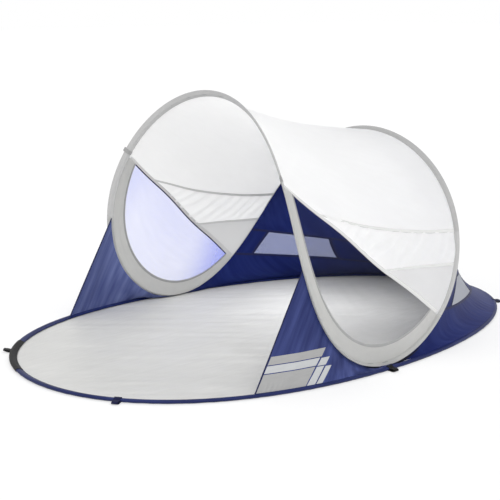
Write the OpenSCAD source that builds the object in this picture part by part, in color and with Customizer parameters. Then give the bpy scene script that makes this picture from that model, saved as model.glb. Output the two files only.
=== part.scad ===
// Pop-up beach shelter: a flat hem hoop holds the groundsheet, and one saddle-shaped spring hoop
// stands on it as a tall arch at the open end and a lower arch at the closed end.
// Frame: +X runs along the groundsheet to the closed end, -Y is the front side, +Z is up, and the
// origin is the middle of the groundsheet on the ground.

/* [Groundsheet] */
// Length of the shelter on the ground, along X
floor_l = 1950; // [1620:10:2400]
// Width of the shelter on the ground, at mid length
floor_w = 1241; // [1030:1:1500]
// How far the open end is wider than the closed end, as a bulge of each side
floor_skew = 30; // [0:1:60]
// Fullness of the outline's shoulders against a plain ellipse
floor_full = 13; // [0:1:25]
// Thickness of the groundsheet
floor_t = 3; // [2:0.5:5]

/* [Arches] */
// Height of the tall arch's hoop line at the open end
left_arch_h = 844; // [700:2:1020]
// Height of the low arch's hoop line at the closed end
right_arch_h = 679; // [560:1:820]
// Distance of the tall arch's top from the middle, towards the open end
left_arch_x = 268; // [200:2:340]
// Distance of the low arch's top from the middle, towards the closed end
right_arch_x = 456; // [360:2:520]
// Distance of the two feet from the middle, towards the open end
foot_x = 57; // [0:1:120]
// Gap between each foot and the groundsheet's edge beside it
foot_gap = 43.5; // [20:0.5:80]
// How much the arches bulge past a plain curve, along X
arch_belly = 75; // [40:1:100]
// How upright the arches' sides stand
arch_square = 74; // [40:1:100]

/* [Hoops and sleeves] */
// Radius of the sewn sleeves that hold the spring wires
sleeve_r = 9; // [7.5:0.1:12]
// Radius of the spring wires
wire_r = 2.2; // [1.5:0.1:3]
// Play of the wires in the bores of their sleeves
wire_play = 1.8; // [1:0.1:2.5]

/* [Fabric] */
// Thickness of the fabric panels
fabric_t = 3; // [2:0.5:4]
// Thickness of the mesh panels
mesh_t = 2; // [1:0.5:3]
// Width of the pale band inside the side openings
band_w = 55; // [30:1:80]
// Width of the binding between the band and the mesh
binding_w = 8; // [4:1:15]
// Width of the tape on the canopy's side edges
tape_w = 12; // [6:1:20]
// Sag of the canopy half way between the arches
canopy_sag = 14; // [0:1:30]

/* [Canopy layout, in degrees round the spring hoop] */
// Angle of the canopy's corner on the tall arch, from the foot
corner_left = 56.3; // [50:0.1:62]
// Angle of the canopy's corner on the low arch, from the foot
corner_right = 25.9; // [20:0.1:30]
// Angle of the upper seam's end on the low arch, from the foot
seam_high = 48.9; // [44:0.1:52]
// Angle of the lower seam's end on the low arch, from the foot
seam_low = 40.3; // [34:0.1:42]
// Angle of the open end's wing tops on the tall arch, from the foot
wing_top = 39; // [30:0.5:48]
// Distance of the wings' outer corners from the middle, towards the open end
wing_x = 526; // [420:1:600]
// How much further out the front wing's corner lies, and how much less the back wing's
wing_skew = 13; // [0:1:30]

/* [Closed end] */
// Inward pull of the end fabric half way up, along X
end_pull_x = 103; // [60:1:130]
// Inward pull of the end fabric half way up, along Z
end_pull_z = 41; // [20:1:60]
// Height of each end window's lower corner beside the arch
window_low_near = 127; // [110:1:145]
// Height of each end window's lower corner towards the tip
window_low_far = 95; // [80:1:110]
// Height of each end window's upper corner beside the arch
window_high_near = 220; // [200:1:240]
// Height of each end window's upper corner towards the tip
window_high_far = 192; // [175:1:210]

/* [Peg loops] */
// Width of the webbing of the peg loops
webbing_w = 18; // [12:1:25]
// Radius of the peg loops' eyes
eye_r = 7.5; // [5:0.1:9]
// Thickness of the webbing
webbing_t = 2.5; // [1.5:0.5:4]

/* [Hidden] */

WHITE = "white";
SLEEVE_GREY = "darkgray";
BAND_GREY = "lightgray";
FLOOR_GREY = "silver";
NAVY = "#2d3662";
BLACK = "#26262c";
MESH_BLUE = "#c5caf0";
STEEL = "#8c8f94";

function lerp(a, b, k) = a + (b - a) * k;
function unit(v) = v / norm(v);
function ramp(k, from, to) = min(1, max(0, (k - from) / (to - from)));

// Terms of the spring hoop's curve, from the places of its four high and low points
arch_mid_x = (right_arch_x - left_arch_x) / 2;
hoop_x0 = (arch_mid_x - foot_x) / 2;
hoop_x1 = (right_arch_x + left_arch_x) / 2 + arch_belly;
hoop_x2 = (-foot_x - arch_mid_x) / 2;
foot_z = floor_t + sleeve_r;
foot_y = floor_w / 2 - foot_gap;
arch_mid_h = (left_arch_h + right_arch_h) / 2;
hoop_z0 = (arch_mid_h + foot_z) / 2;
hoop_z2 = (arch_mid_h - foot_z) / 2;
hoop_z1 = (left_arch_h - right_arch_h) / 2;
HOOP_CENTRE = [hoop_x0, 0, hoop_z0];

// Spring hoop: t = 0 front foot, 90 tall arch's top, 180 back foot, 270 low arch's top
function hoop(t) = [
    hoop_x0 - hoop_x1 * sin(t) + hoop_x2 * cos(2 * t) - arch_belly * sin(3 * t),
    -((foot_y + arch_square) * cos(t) - arch_square * cos(3 * t)),
    hoop_z0 + hoop_z1 * sin(t) - hoop_z2 * cos(2 * t)];

// Outer edge of the groundsheet: a = 0 closed end's tip, 90 back, 180 open end's tip, 270 front
function edge(a) = [
    floor_l / 2 * cos(a),
    (floor_w / 2 + floor_full) * sin(a) - floor_skew * sin(2 * a) + floor_full * sin(3 * a)];
function edge_out(a) = let (d = unit(edge(a + 1) - edge(a - 1))) [d.y, -d.x];
function inset_edge(a, d) = edge(a) - d * edge_out(a);
function hem(a) = let (p = inset_edge(a, sleeve_r)) [p.x, p.y, sleeve_r];
HEM_CENTRE = [0, 0, sleeve_r];

// Where the panels are sewn to the hem: along the top of its sleeve
seam_z = 2 * sleeve_r + fabric_t / 2;
function hem_top(a) = let (p = hem(a)) [p.x, p.y, seam_z];
foot_a = acos(-2 * foot_x / floor_l);

// A point on the line from a to b, kept the given distances short of its ends
function between(a, b, k, short_a, short_b) =
    let (d = unit(b - a), p = a + d * short_a, q = b - d * short_b) lerp(p, q, k);

// Sheet of thickness t about a grid of points, closed all round
module sheet(grid, t) {
    n = len(grid);
    m = len(grid[0]);
    side = [for (i = [0:n - 1]) [for (j = [0:m - 1])
        unit(cross(grid[min(i + 1, n - 1)][j] - grid[max(i - 1, 0)][j],
                   grid[i][min(j + 1, m - 1)] - grid[i][max(j - 1, 0)]))]];
    over = [for (i = [0:n - 1]) for (j = [0:m - 1]) grid[i][j] + side[i][j] * t / 2];
    under = [for (i = [0:n - 1]) for (j = [0:m - 1]) grid[i][j] - side[i][j] * t / 2];
    k = n * m;
    skin = [for (i = [0:n - 2]) for (j = [0:m - 2])
        let (a = i * m + j, b = a + 1, c = a + m + 1, d = a + m)
        each [[a, b, c], [a, c, d], [k + a, k + c, k + b], [k + a, k + d, k + c]]];
    rows = [for (j = [0:m - 2]) let (a = j, b = (n - 1) * m + j)
        each [[a, k + a, k + a + 1], [a, k + a + 1, a + 1],
              [b, b + 1, k + b + 1], [b, k + b + 1, k + b]]];
    cols = [for (i = [0:n - 2]) let (a = i * m, b = i * m + m - 1)
        each [[a, a + m, k + a + m], [a, k + a + m, k + a],
              [b, k + b, k + b + m], [b, k + b + m, b + m]]];
    polyhedron(concat(over, under), concat(skin, rows, cols));
}

// Points of one ring of a tube, whose first point looks away from the hoop's centre
function ring(path, i, centre, r, sides, closed) =
    let (n = len(path),
         before = path[closed ? (i + n - 1) % n : max(i - 1, 0)],
         after = path[closed ? (i + 1) % n : min(i + 1, n - 1)],
         along = unit(after - before),
         away = path[i] - centre,
         u = unit(away - (away * along) * along),
         v = cross(along, u))
    [for (k = [0:sides - 1]) let (a = 360 * (k + 0.5) / sides) path[i] + r * (cos(a) * u + sin(a) * v)];

// Closed ring of wire along a path
module wire_ring(path, centre, r, sides) {
    n = len(path);
    points = [for (i = [0:n - 1]) each ring(path, i, centre, r, sides, true)];
    faces = [for (i = [0:n - 1]) for (k = [0:sides - 1])
        let (a = i * sides + k, b = i * sides + (k + 1) % sides,
             c = ((i + 1) % n) * sides + (k + 1) % sides, d = ((i + 1) % n) * sides + k)
        each [[a, c, b], [a, d, c]]];
    polyhedron(points, faces);
}

// Hollow sleeve along an open path
module sleeve(path, centre, r_out, r_in, sides) {
    n = len(path);
    outer = [for (i = [0:n - 1]) each ring(path, i, centre, r_out, sides, false)];
    inner = [for (i = [0:n - 1]) each ring(path, i, centre, r_in, sides, false)];
    m = n * sides;
    walls = [for (i = [0:n - 2]) for (k = [0:sides - 1])
        let (a = i * sides + k, b = i * sides + (k + 1) % sides, c = b + sides, d = a + sides)
        each [[a, c, b], [a, d, c], [m + a, m + b, m + c], [m + a, m + c, m + d]]];
    ends = [for (k = [0:sides - 1])
        let (a = k, b = (k + 1) % sides, c = (n - 1) * sides + k, d = (n - 1) * sides + (k + 1) % sides)
        each [[a, b, m + b], [a, m + b, m + a], [c, m + d, d], [c, m + c, m + d]]];
    polyhedron(concat(outer, inner), concat(walls, ends));
}

sleeve_sides = 8;
wire_sides = 6;
ring_step = 5.625;
bore_r = wire_r + wire_play;
function hoop_path(from, to, steps) = [for (i = [0:steps]) hoop(lerp(from, to, i / steps))];
function hem_path(from, to, steps) = [for (i = [0:steps]) hem(lerp(from, to, i / steps))];

// ---- Groundsheet and hem ----
module floor_sheet() {
    reach = 1.6 * floor_t;
    color(FLOOR_GREY) linear_extrude(floor_t)
        polygon([for (a = [0:5:355]) inset_edge(a, reach)]);
}

module hem_wire() {
    color(STEEL) wire_ring([for (a = [0:ring_step:359]) hem(a)], HEM_CENTRE, wire_r, wire_sides);
}

module hem_sleeve(from) {
    steps = 16;
    color(NAVY) sleeve(hem_path(from, from + 90, steps), HEM_CENTRE, sleeve_r, bore_r, sleeve_sides);
}

// Dark strengthening patch laid over the hem where the ends of its wire are joined
patch_from = 146;
patch_to = 171;
patch_low = -20;
patch_high = 155;
patch_t = 1.5;
module hem_patch() {
    rows = 8;
    columns = 7;
    r = sleeve_r + patch_t / 2;
    color(BLACK) sheet([for (i = [0:rows]) let (a = lerp(patch_from, patch_to, i / rows), out = edge_out(a))
        [for (j = [0:columns]) let (g = lerp(patch_low, patch_high, j / columns))
            hem(a) + r * [out.x * cos(g), out.y * cos(g), sin(g)]]], patch_t);
}

// ---- Spring hoop ----
module spring_wire() {
    color(STEEL) wire_ring([for (t = [0:ring_step:359]) hoop(t)], HOOP_CENTRE, wire_r, wire_sides);
}

module hoop_sleeve(from, to, colour) {
    steps = ceil((to - from) / ring_step);
    color(colour) sleeve(hoop_path(from, to, steps), HOOP_CENTRE, sleeve_r, bore_r, sleeve_sides);
}

// Small webbing keeper wrapped round the tall arch where the canopy's corner is sewn
tab_length = 2.4;
tab_play = 0.3;
tab_t = 2.2;
module arch_tab() {
    steps = 2;
    to = 180 - corner_left;
    color(BLACK) sleeve(hoop_path(to - tab_length, to, steps), HOOP_CENTRE, sleeve_r + tab_play + tab_t,
                        sleeve_r + tab_play, sleeve_sides);
}

// ---- Canopy: across = -1 at the front edge and 1 at the back edge, along = 0 at the tall arch ----
function canopy_left(across) = hoop(90 + (90 - corner_left) * across);
function canopy_right(across) = hoop(270 - (90 - corner_right) * across);
function canopy(across, along) =
    between(canopy_left(across), canopy_right(across), along, sleeve_r, sleeve_r)
    - [0, 0, canopy_sag * sin(180 * along) * cos(90 * across)];

high_start = 0.195;
low_start = 0.62;
seam_bow = 0.06;
high_end = (90 - seam_high) / (90 - corner_right);
low_end = (90 - seam_low) / (90 - corner_right);
function seam_across(k, end) = lerp(1, end, k) - seam_bow * (1 - end) * sin(180 * k);
function high_seam(along) = seam_across(ramp(along, high_start, 1), high_end);
function low_seam(along) = seam_across(ramp(along, low_start, 1), low_end);
thin_end = 0.03;

module canopy_top() {
    rows = 14;
    columns = 22;
    color(WHITE) sheet([for (i = [0:rows]) let (along = i / rows)
        [for (j = [0:columns]) canopy(lerp(-1, 1, j / columns) * high_seam(along), along)]], fabric_t);
}

module canopy_gather() {
    rows = 12;
    columns = 4;
    color(WHITE) sheet([for (i = [0:rows]) let (along = lerp(high_start + thin_end, 1, i / rows))
        [for (j = [0:columns]) canopy(lerp(high_seam(along), low_seam(along), j / columns), along)]],
        fabric_t);
}

module canopy_corner() {
    rows = 6;
    columns = 4;
    color(WHITE) sheet([for (i = [0:rows]) let (along = lerp(low_start + thin_end, 1, i / rows))
        [for (j = [0:columns]) canopy(lerp(low_seam(along), 1, j / columns), along)]], fabric_t);
}

// ---- Side opening: a half moon between the canopy's edge and the hoop below it ----
side_from = 180 - corner_left;
side_to = 180 + corner_right;
function side_edge(t) = lerp(hoop(side_from), hoop(side_to), (t - side_from) / (side_to - side_from));
function side_depth(t) = norm(side_edge(t) - hoop(t)) - tape_w;
function side_point(t, depth) = hoop(t) + unit(side_edge(t) - hoop(t)) * depth;

// Hoop angle nearest to one end of the half moon at which it is still this deep
function side_limit(end, depth, low, high, tries = 16) =
    tries == 0 ? (low + high) / 2 :
    let (mid = (low + high) / 2, deep = side_depth(mid) > depth, lower = (end == "left") == deep)
    side_limit(end, depth, lower ? low : mid, lower ? mid : high, tries - 1);
side_mid = (side_from + side_to) / 2;

// Strip of the half moon between two depths from the hoop
module side_strip(near, far, least, rows, columns, t) {
    from = side_limit("left", near + least, side_from, side_mid);
    to = side_limit("right", near + least, side_mid, side_to);
    sheet([for (i = [0:rows]) let (a = lerp(from, to, i / rows), limit = min(far, side_depth(a)))
        [for (j = [0:columns]) side_point(a, lerp(near, limit, j / columns))]], t);
}

band_far = sleeve_r + band_w;
binding_far = band_far + binding_w;
whole_depth = 2 * foot_y;

module side_band() {
    color(BAND_GREY)
        side_strip(near = sleeve_r, far = band_far, least = 6, rows = 28, columns = 1, t = fabric_t);
}

module side_binding() {
    color(BLACK)
        side_strip(near = band_far, far = binding_far, least = 3, rows = 24, columns = 1, t = fabric_t);
}

module side_mesh() {
    color(MESH_BLUE)
        side_strip(near = binding_far, far = whole_depth, least = 4, rows = 20, columns = 4, t = mesh_t);
}

// Tape sewn along the canopy's side edge, over the mesh
tape_short = 5;
module canopy_tape() {
    rows = 10;
    color(BAND_GREY) sheet([for (i = [0:rows])
        let (a = lerp(side_from + tape_short, side_to - tape_short, i / rows))
        [side_point(a, side_depth(a)), side_point(a, side_depth(a) + tape_w - fabric_t / 2)]], fabric_t);
}

// ---- Open end's wing: from the hem up to the tall arch, with a free outer edge ----
function wing(k, up, corner_a) =
    between(hem_top(lerp(corner_a, foot_a, k)), hoop(lerp(180 - wing_top, 180, k)), up, 0, sleeve_r);

module left_wing(corner_x) {
    rows = 12;
    columns = 6;
    corner_a = acos(-2 * corner_x / floor_l);
    color(NAVY) sheet([for (i = [0:rows])
        [for (j = [0:columns]) wing(i / rows, j / columns, corner_a)]], fabric_t);
}

// ---- Closed end: k = 0 at the foot and 1 at the tip, up = 0 at the hem and 1 at the low arch ----
pull_shape = 0.8;
function end_wall(k, up) =
    between(hem_top(foot_a * (1 - k)), hoop(180 + 90 * k), up, 0, sleeve_r)
    - [end_pull_x, 0, end_pull_z] * sin(180 * pow(up, pull_shape)) * sin(90 * k);

// How far up the end wall a given height lies, found by halving
function end_up(k, h, low = 0, high = 1, tries = 14) =
    tries == 0 ? (low + high) / 2 :
    let (mid = (low + high) / 2)
    end_wall(k, mid).z < h ? end_up(k, h, mid, high, tries - 1) : end_up(k, h, low, mid, tries - 1);

// Place along the end at which the low arch reaches a given height, found by halving
function arch_k(h, low = 0.05, high = 0.9, tries = 14) =
    tries == 0 ? (low + high) / 2 :
    let (mid = (low + high) / 2)
    end_wall(mid, 1).z < h ? arch_k(h, mid, high, tries - 1) : arch_k(h, low, mid, tries - 1);

// Places of the window's corners along the end
window_low_from = 0.374;
window_low_to = 0.635;
window_high_from = 0.471;
window_high_to = 0.674;
function sill_h(k) = lerp(window_low_near, window_low_far,
                          (k - window_low_from) / (window_low_to - window_low_from));
function lintel_h(k) = lerp(window_high_near, window_high_far,
                            (k - window_high_from) / (window_high_to - window_high_from));
function band_point(k, q) = end_wall(k, end_up(k, lerp(sill_h(k), lintel_h(k), q)));
function window_from(q) = lerp(window_low_from, window_high_from, q);
function window_to(q) = lerp(window_low_to, window_high_to, q);
sill_k = arch_k(window_low_near);
lintel_k = arch_k(window_high_near);

module end_skirt() {
    rows = 24;
    columns = 4;
    color(NAVY) sheet([for (i = [0:rows]) let (k = i / rows, top = end_up(k, sill_h(k)))
        [for (j = [0:columns]) end_wall(k, top * j / columns)]], fabric_t);
}

// Patch of the window band between two slanting sides
module band_patch(from_low, from_high, to_low, to_high, columns, t) {
    rows = 4;
    sheet([for (i = [0:columns]) [for (j = [0:rows]) let (q = j / rows)
        band_point(lerp(lerp(from_low, from_high, q), lerp(to_low, to_high, q), i / columns), q)]], t);
}

module end_stile() {
    columns = 6;
    color(NAVY) band_patch(sill_k, lintel_k, window_low_from, window_high_from, columns, fabric_t);
}

module end_window() {
    columns = 8;
    color(MESH_BLUE)
        band_patch(window_low_from, window_high_from, window_low_to, window_high_to, columns, mesh_t);
}

// The wall between the two windows, across the tip
module end_centre_stile() {
    steps = 5;
    rows = 4;
    half = [for (i = [0:steps]) [for (j = [0:rows])
        let (q = j / rows) band_point(lerp(window_to(q), 1, i / steps), q)]];
    far = [for (i = [steps - 1:-1:0]) [for (p = half[i]) [p.x, -p.y, p.z]]];
    color(NAVY) sheet(concat(half, far), fabric_t);
}

module end_top() {
    rows = 14;
    columns = 8;
    color(NAVY) sheet([for (i = [0:rows])
        let (k = lerp(lintel_k + thin_end, 1, i / rows), low = end_up(k, lintel_h(k)))
        [for (j = [0:columns]) end_wall(k, lerp(low, 1, j / columns))]], fabric_t);
}

// ---- Peg loop: an eye of webbing lying against the hem, with its bore along the hem ----
loop_gap = 1;
loop_sewn = 2;
module peg_loop(a) {
    r = eye_r + webbing_t;
    out = edge_out(a);
    place = inset_edge(a, -r - loop_gap);
    reach = r + loop_gap + loop_sewn;
    color(BLACK) translate([place.x, place.y, r]) rotate([0, 0, atan2(out.y, out.x)])
        rotate([90, 0, 0]) difference() {
            union() {
                cylinder(h = webbing_w, r = r, center = true, $fn = 32);
                translate([-reach / 2, -r / 2, 0]) cube([reach, r, webbing_w], center = true);
            }
            cylinder(h = 2 * webbing_w, r = eye_r, center = true, $fn = 32);
        }
}

module front() { mirror([0, 1, 0]) children(); }

// Places of the peg loops round the groundsheet's edge
foot_loop_a = foot_a - 1;
side_loop_a = 153;
end_loop_a = 27;

floor_sheet();
hem_wire();
hem_sleeve(0);  // hem_sleeve_back_right
hem_sleeve(90);  // hem_sleeve_back_left
hem_sleeve(180);  // hem_sleeve_front_left
hem_sleeve(270);  // hem_sleeve_front_right
hem_patch();
spring_wire();
hoop_sleeve(45, 135, SLEEVE_GREY);  // arch_sleeve_left
hoop_sleeve(180 + corner_right, 360 - corner_right, SLEEVE_GREY);  // arch_sleeve_right
hoop_sleeve(-corner_right, 45, BAND_GREY);  // foot_sleeve_front
hoop_sleeve(135, 180 + corner_right, BAND_GREY);  // foot_sleeve_back
front() arch_tab();  // arch_tab_front
arch_tab();  // arch_tab_back
canopy_top();
front() canopy_gather();  // canopy_gather_front
canopy_gather();  // canopy_gather_back
front() canopy_corner();  // canopy_corner_front
canopy_corner();  // canopy_corner_back
front() canopy_tape();  // canopy_tape_front
canopy_tape();  // canopy_tape_back
front() side_band();  // side_band_front
side_band();  // side_band_back
front() side_binding();  // side_binding_front
side_binding();  // side_binding_back
front() side_mesh();  // side_mesh_front
side_mesh();  // side_mesh_back
front() left_wing(wing_x + wing_skew);  // left_wing_front
left_wing(wing_x - wing_skew);  // left_wing_back
front() end_skirt();  // end_skirt_front
end_skirt();  // end_skirt_back
front() end_stile();  // end_stile_front
end_stile();  // end_stile_back
front() end_window();  // end_window_front
end_window();  // end_window_back
end_centre_stile();
front() end_top();  // end_top_front
end_top();  // end_top_back
peg_loop(-side_loop_a);  // peg_loop_front_left
peg_loop(side_loop_a);  // peg_loop_back_left
peg_loop(-foot_loop_a);  // peg_loop_front_foot
peg_loop(foot_loop_a);  // peg_loop_back_foot
peg_loop(-end_loop_a);  // peg_loop_front_right
peg_loop(end_loop_a);  // peg_loop_back_right
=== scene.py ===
"""Pop-up beach shelter: the looks of the groundsheet, spring hoop, canopy, openings and closed end.

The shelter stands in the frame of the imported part: +X runs along the groundsheet to the closed end,
-Y is the front side, +Z is up, and every length is in metres. Angles are in degrees. Each
sub-assembly is a class whose fields are its sizes and whose methods build and dress its pieces.
"""

import logging  # noqa: E402
import math  # noqa: E402
from dataclasses import dataclass, replace  # noqa: E402
from enum import Enum  # noqa: E402
from typing import Any, Callable, Sequence  # noqa: E402

import bpy  # noqa: E402
import numpy as np  # noqa: E402
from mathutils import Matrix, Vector  # noqa: E402


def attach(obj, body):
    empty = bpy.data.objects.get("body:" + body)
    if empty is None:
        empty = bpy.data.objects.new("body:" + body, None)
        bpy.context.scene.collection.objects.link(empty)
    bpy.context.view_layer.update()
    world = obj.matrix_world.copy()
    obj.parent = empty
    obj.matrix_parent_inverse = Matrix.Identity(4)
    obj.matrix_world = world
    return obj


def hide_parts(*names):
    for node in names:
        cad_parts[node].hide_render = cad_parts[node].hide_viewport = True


log = logging.getLogger("shelter")

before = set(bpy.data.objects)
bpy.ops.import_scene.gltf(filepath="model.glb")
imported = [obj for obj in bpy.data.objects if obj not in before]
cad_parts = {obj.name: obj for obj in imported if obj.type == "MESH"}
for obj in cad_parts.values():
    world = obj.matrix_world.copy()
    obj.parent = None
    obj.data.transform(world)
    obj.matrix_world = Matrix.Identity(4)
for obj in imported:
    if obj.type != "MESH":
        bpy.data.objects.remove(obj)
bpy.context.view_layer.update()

Array = np.ndarray
MM = 0.001
BODY = "root"


class Side(Enum):
    """The two long sides of the shelter, with the sign of Y on each."""

    FRONT = -1.0
    BACK = 1.0

    @property
    def word(self) -> str:
        """The side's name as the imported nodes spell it."""
        return self.name.lower()


# ---- Small numpy tools ----
def sind(a: Any) -> Array:
    """Sine of an angle in degrees."""
    return np.sin(np.radians(a))


def cosd(a: Any) -> Array:
    """Cosine of an angle in degrees."""
    return np.cos(np.radians(a))


def unit(v: Array) -> Array:
    """Vectors along the last axis, each divided by its length."""
    return v / np.maximum(np.linalg.norm(v, axis=-1, keepdims=True), 1e-12)


def lerp(a: Any, b: Any, k: Any) -> Any:
    """The point a share k of the way from a to b."""
    return a + (b - a) * k


def ramp(k: Any, start: float, end: float) -> Array:
    """Zero before start, one after end and a straight rise between them."""
    return np.clip((k - start) / (end - start), 0.0, 1.0)


def smooth(k: Any, start: float, end: float) -> Array:
    """The same rise as ramp, eased at both ends by 3k^2 - 2k^3."""
    r = ramp(k, start, end)
    return r * r * (3 - 2 * r)


def point(x: Any, y: Any, z: Any) -> Array:
    """Arrays of x, y and z broadcast together into points along a new last axis."""
    return np.stack(np.broadcast_arrays(x, y, z), axis=-1)


def grid(rows: int, columns: int) -> tuple[Array, Array]:
    """Two parameters from 0 to 1 on a grid.

    Args:
        rows: number of cells along the first parameter.
        columns: number of cells along the second parameter.

    Returns:
        Arrays of shape (rows + 1, columns + 1), one for each parameter.
    """
    return np.meshgrid(np.linspace(0, 1, rows + 1), np.linspace(0, 1, columns + 1), indexing="ij")


def noise(x: Array, y: Array, seed: int) -> Array:
    """Smooth value noise between -1 and 1.

    A square lattice of random heights, one unit apart, is read at (x, y), and the four heights
    around each place are blended with weights eased by 3k^2 - 2k^3.

    Args:
        x: first coordinate, in lattice steps.
        y: second coordinate, in lattice steps.
        seed: number that picks the lattice.

    Returns:
        An array of the shape of x and y.
    """
    size = 64
    table = np.random.default_rng(seed).uniform(-1, 1, (size, size))
    i, j = np.floor(x).astype(int), np.floor(y).astype(int)
    u, v = smooth(x - i, 0, 1), smooth(y - j, 0, 1)
    here, ahead, low, high = i % size, (i + 1) % size, j % size, (j + 1) % size
    near, far = lerp(table[here, low], table[ahead, low], u), lerp(table[here, high], table[ahead, high], u)
    return lerp(near, far, v)


def creases(x: Array, y: Array, turn: float, wide: float, long: float, seed: int) -> Array:
    """Long soft creases: noise stretched along one direction, plus the same at half the scale.

    Args:
        x: first coordinate on the cloth, in metres.
        y: second coordinate on the cloth, in metres.
        turn: direction in which the creases run, in degrees from the first coordinate.
        wide: distance from one crease to the next, in metres.
        long: typical length of a crease, in metres.
        seed: number that picks the creases.

    Returns:
        Heights between about -1 and 1.
    """
    a, b = x * cosd(turn) + y * sind(turn), y * cosd(turn) - x * sind(turn)
    coarse = noise(a / long, b / wide, seed)
    return 0.7 * coarse + 0.3 * noise(2 * a / long, 2 * b / wide, seed + 1)


def normals(p: Array) -> Array:
    """Unit normals of a grid of points: the cross product of its two gradients."""
    return unit(np.cross(np.gradient(p, axis=0), np.gradient(p, axis=1)))


def raised(p: Array, height: Any) -> Array:
    """A grid of points moved along its normals by a height at each point."""
    return p + normals(p) * np.asarray(height)[..., None]


def lengths(p: Array) -> tuple[Array, Array]:
    """Running length along each direction of a grid, as places on the flat cloth.

    Each direction's running length is averaged over the other direction, so that a weave laid by it
    keeps straight threads.
    """
    n, m = p.shape[:2]
    down = np.linalg.norm(np.diff(p, axis=0), axis=-1).mean(axis=1)
    over = np.linalg.norm(np.diff(p, axis=1), axis=-1).mean(axis=0)
    u = np.concatenate([[0.0], np.cumsum(down)])
    v = np.concatenate([[0.0], np.cumsum(over)])
    return np.repeat(u[:, None], m, 1), np.repeat(v[None, :], n, 0)


# ---- Meshes ----
def new_piece(
    name: str, verts: Array, faces: Array, uv: Array, sharp: Array | None = None
) -> bpy.types.Object:
    """A mesh object of quads at the origin, smooth-shaded, with a UV map in metres.

    Args:
        name: name of the piece.
        verts: points, shape (n, 3).
        faces: indices of the corners of each quad, shape (m, 4).
        uv: place of each point on the flat cloth, shape (n, 2).
        sharp: flags of the points on a hard edge; an edge between two such points shades hard.

    Returns:
        The new object, linked to the scene.
    """
    mesh = bpy.data.meshes.new(name)
    mesh.vertices.add(len(verts))
    mesh.vertices.foreach_set("co", np.asarray(verts, np.float32).ravel())
    mesh.loops.add(faces.size)
    mesh.loops.foreach_set("vertex_index", faces.astype(np.int32).ravel())
    mesh.polygons.add(len(faces))
    mesh.polygons.foreach_set("loop_start", np.arange(0, faces.size, 4, dtype=np.int32))
    mesh.polygons.foreach_set("use_smooth", np.ones(len(faces), bool))
    mesh.update(calc_edges=True)
    layer = mesh.uv_layers.new(name="flat")
    layer.data.foreach_set("uv", uv[faces.ravel()].astype(np.float32).ravel())
    if sharp is not None:
        ends = np.empty(len(mesh.edges) * 2, np.int32)
        mesh.edges.foreach_get("vertices", ends)
        hard = sharp[ends].reshape(-1, 2)
        flag = mesh.attributes.new("sharp_edge", "BOOLEAN", "EDGE")
        flag.data.foreach_set("value", (hard[:, 0] & hard[:, 1]).astype(bool))
    mesh.validate()
    made = bpy.data.objects.new(name, mesh)
    bpy.context.scene.collection.objects.link(made)
    return made


def cloth(name: str, p: Array, thick: float) -> bpy.types.Object:
    """A closed sheet about a grid of points.

    The grid is moved half the thickness along its normals for one face and half the other way for
    the other face, and quads join the two along the four borders.

    Args:
        name: name of the piece.
        p: middle surface, shape (rows, columns, 3).
        thick: thickness of the cloth, in metres.

    Returns:
        The new object.
    """
    n, m = p.shape[:2]
    half = normals(p) * thick / 2
    verts = np.concatenate([(p + half).reshape(-1, 3), (p - half).reshape(-1, 3)])
    k = np.arange(n * m).reshape(n, m)
    skin = np.stack([k[:-1, :-1], k[1:, :-1], k[1:, 1:], k[:-1, 1:]], -1).reshape(-1, 4)
    loop = np.concatenate([k[0, :], k[1:, -1], k[-1, -2::-1], k[-2:0:-1, 0]])
    after = np.roll(loop, -1)
    rim = np.stack([loop, after, after + n * m, loop + n * m], -1)
    faces = np.concatenate([skin, skin[:, ::-1] + n * m, rim])
    u, v = lengths(p)
    flat = np.stack([u.ravel(), v.ravel()], -1)
    edge = np.zeros(2 * n * m, bool)
    edge[loop] = edge[loop + n * m] = True
    return new_piece(name, verts, faces, np.concatenate([flat, flat]), edge)


def tube(name: str, rings: Array) -> bpy.types.Object:
    """A closed skin over rings of points, with its ends filled by a fan of thin quads.

    Args:
        name: name of the piece.
        rings: points, shape (rings, points of a ring, 3), each ring turning from the side on its
            left to the side above it as seen along the path.

    Returns:
        The new object.
    """
    n, m = rings.shape[:2]
    k = np.arange(n * m).reshape(n, m)
    here, there = k[:-1], k[1:]
    faces = [np.stack([here, np.roll(here, -1, 1), np.roll(there, -1, 1), there], -1).reshape(-1, 4)]
    verts = np.concatenate([rings.reshape(-1, 3), rings[[0, -1]].mean(1)])
    u = np.concatenate([[0.0], np.cumsum(np.linalg.norm(np.diff(rings.mean(1), axis=0), axis=-1))])
    v = np.concatenate([[0.0], np.cumsum(np.linalg.norm(np.diff(rings, axis=1), axis=-1).mean(0))])
    flat = np.stack([np.repeat(u[:, None], m, 1).ravel(), np.repeat(v[None, :], n, 0).ravel()], -1)
    flat = np.concatenate([flat, [[0.0, 0.0], [u[-1], 0.0]]])
    edge = np.zeros(len(verts), bool)
    even = np.arange(0, m, 2)
    for ring, hub, flip in ((k[0], n * m, True), (k[-1], n * m + 1, False)):
        corners = [ring[even], ring[(even + 1) % m], ring[(even + 2) % m], np.full(len(even), hub)]
        fan = np.stack(corners, -1)
        faces.append(fan[:, ::-1] if flip else fan)
        edge[ring] = True
    return new_piece(name, verts, np.concatenate(faces), flat, edge)


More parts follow.
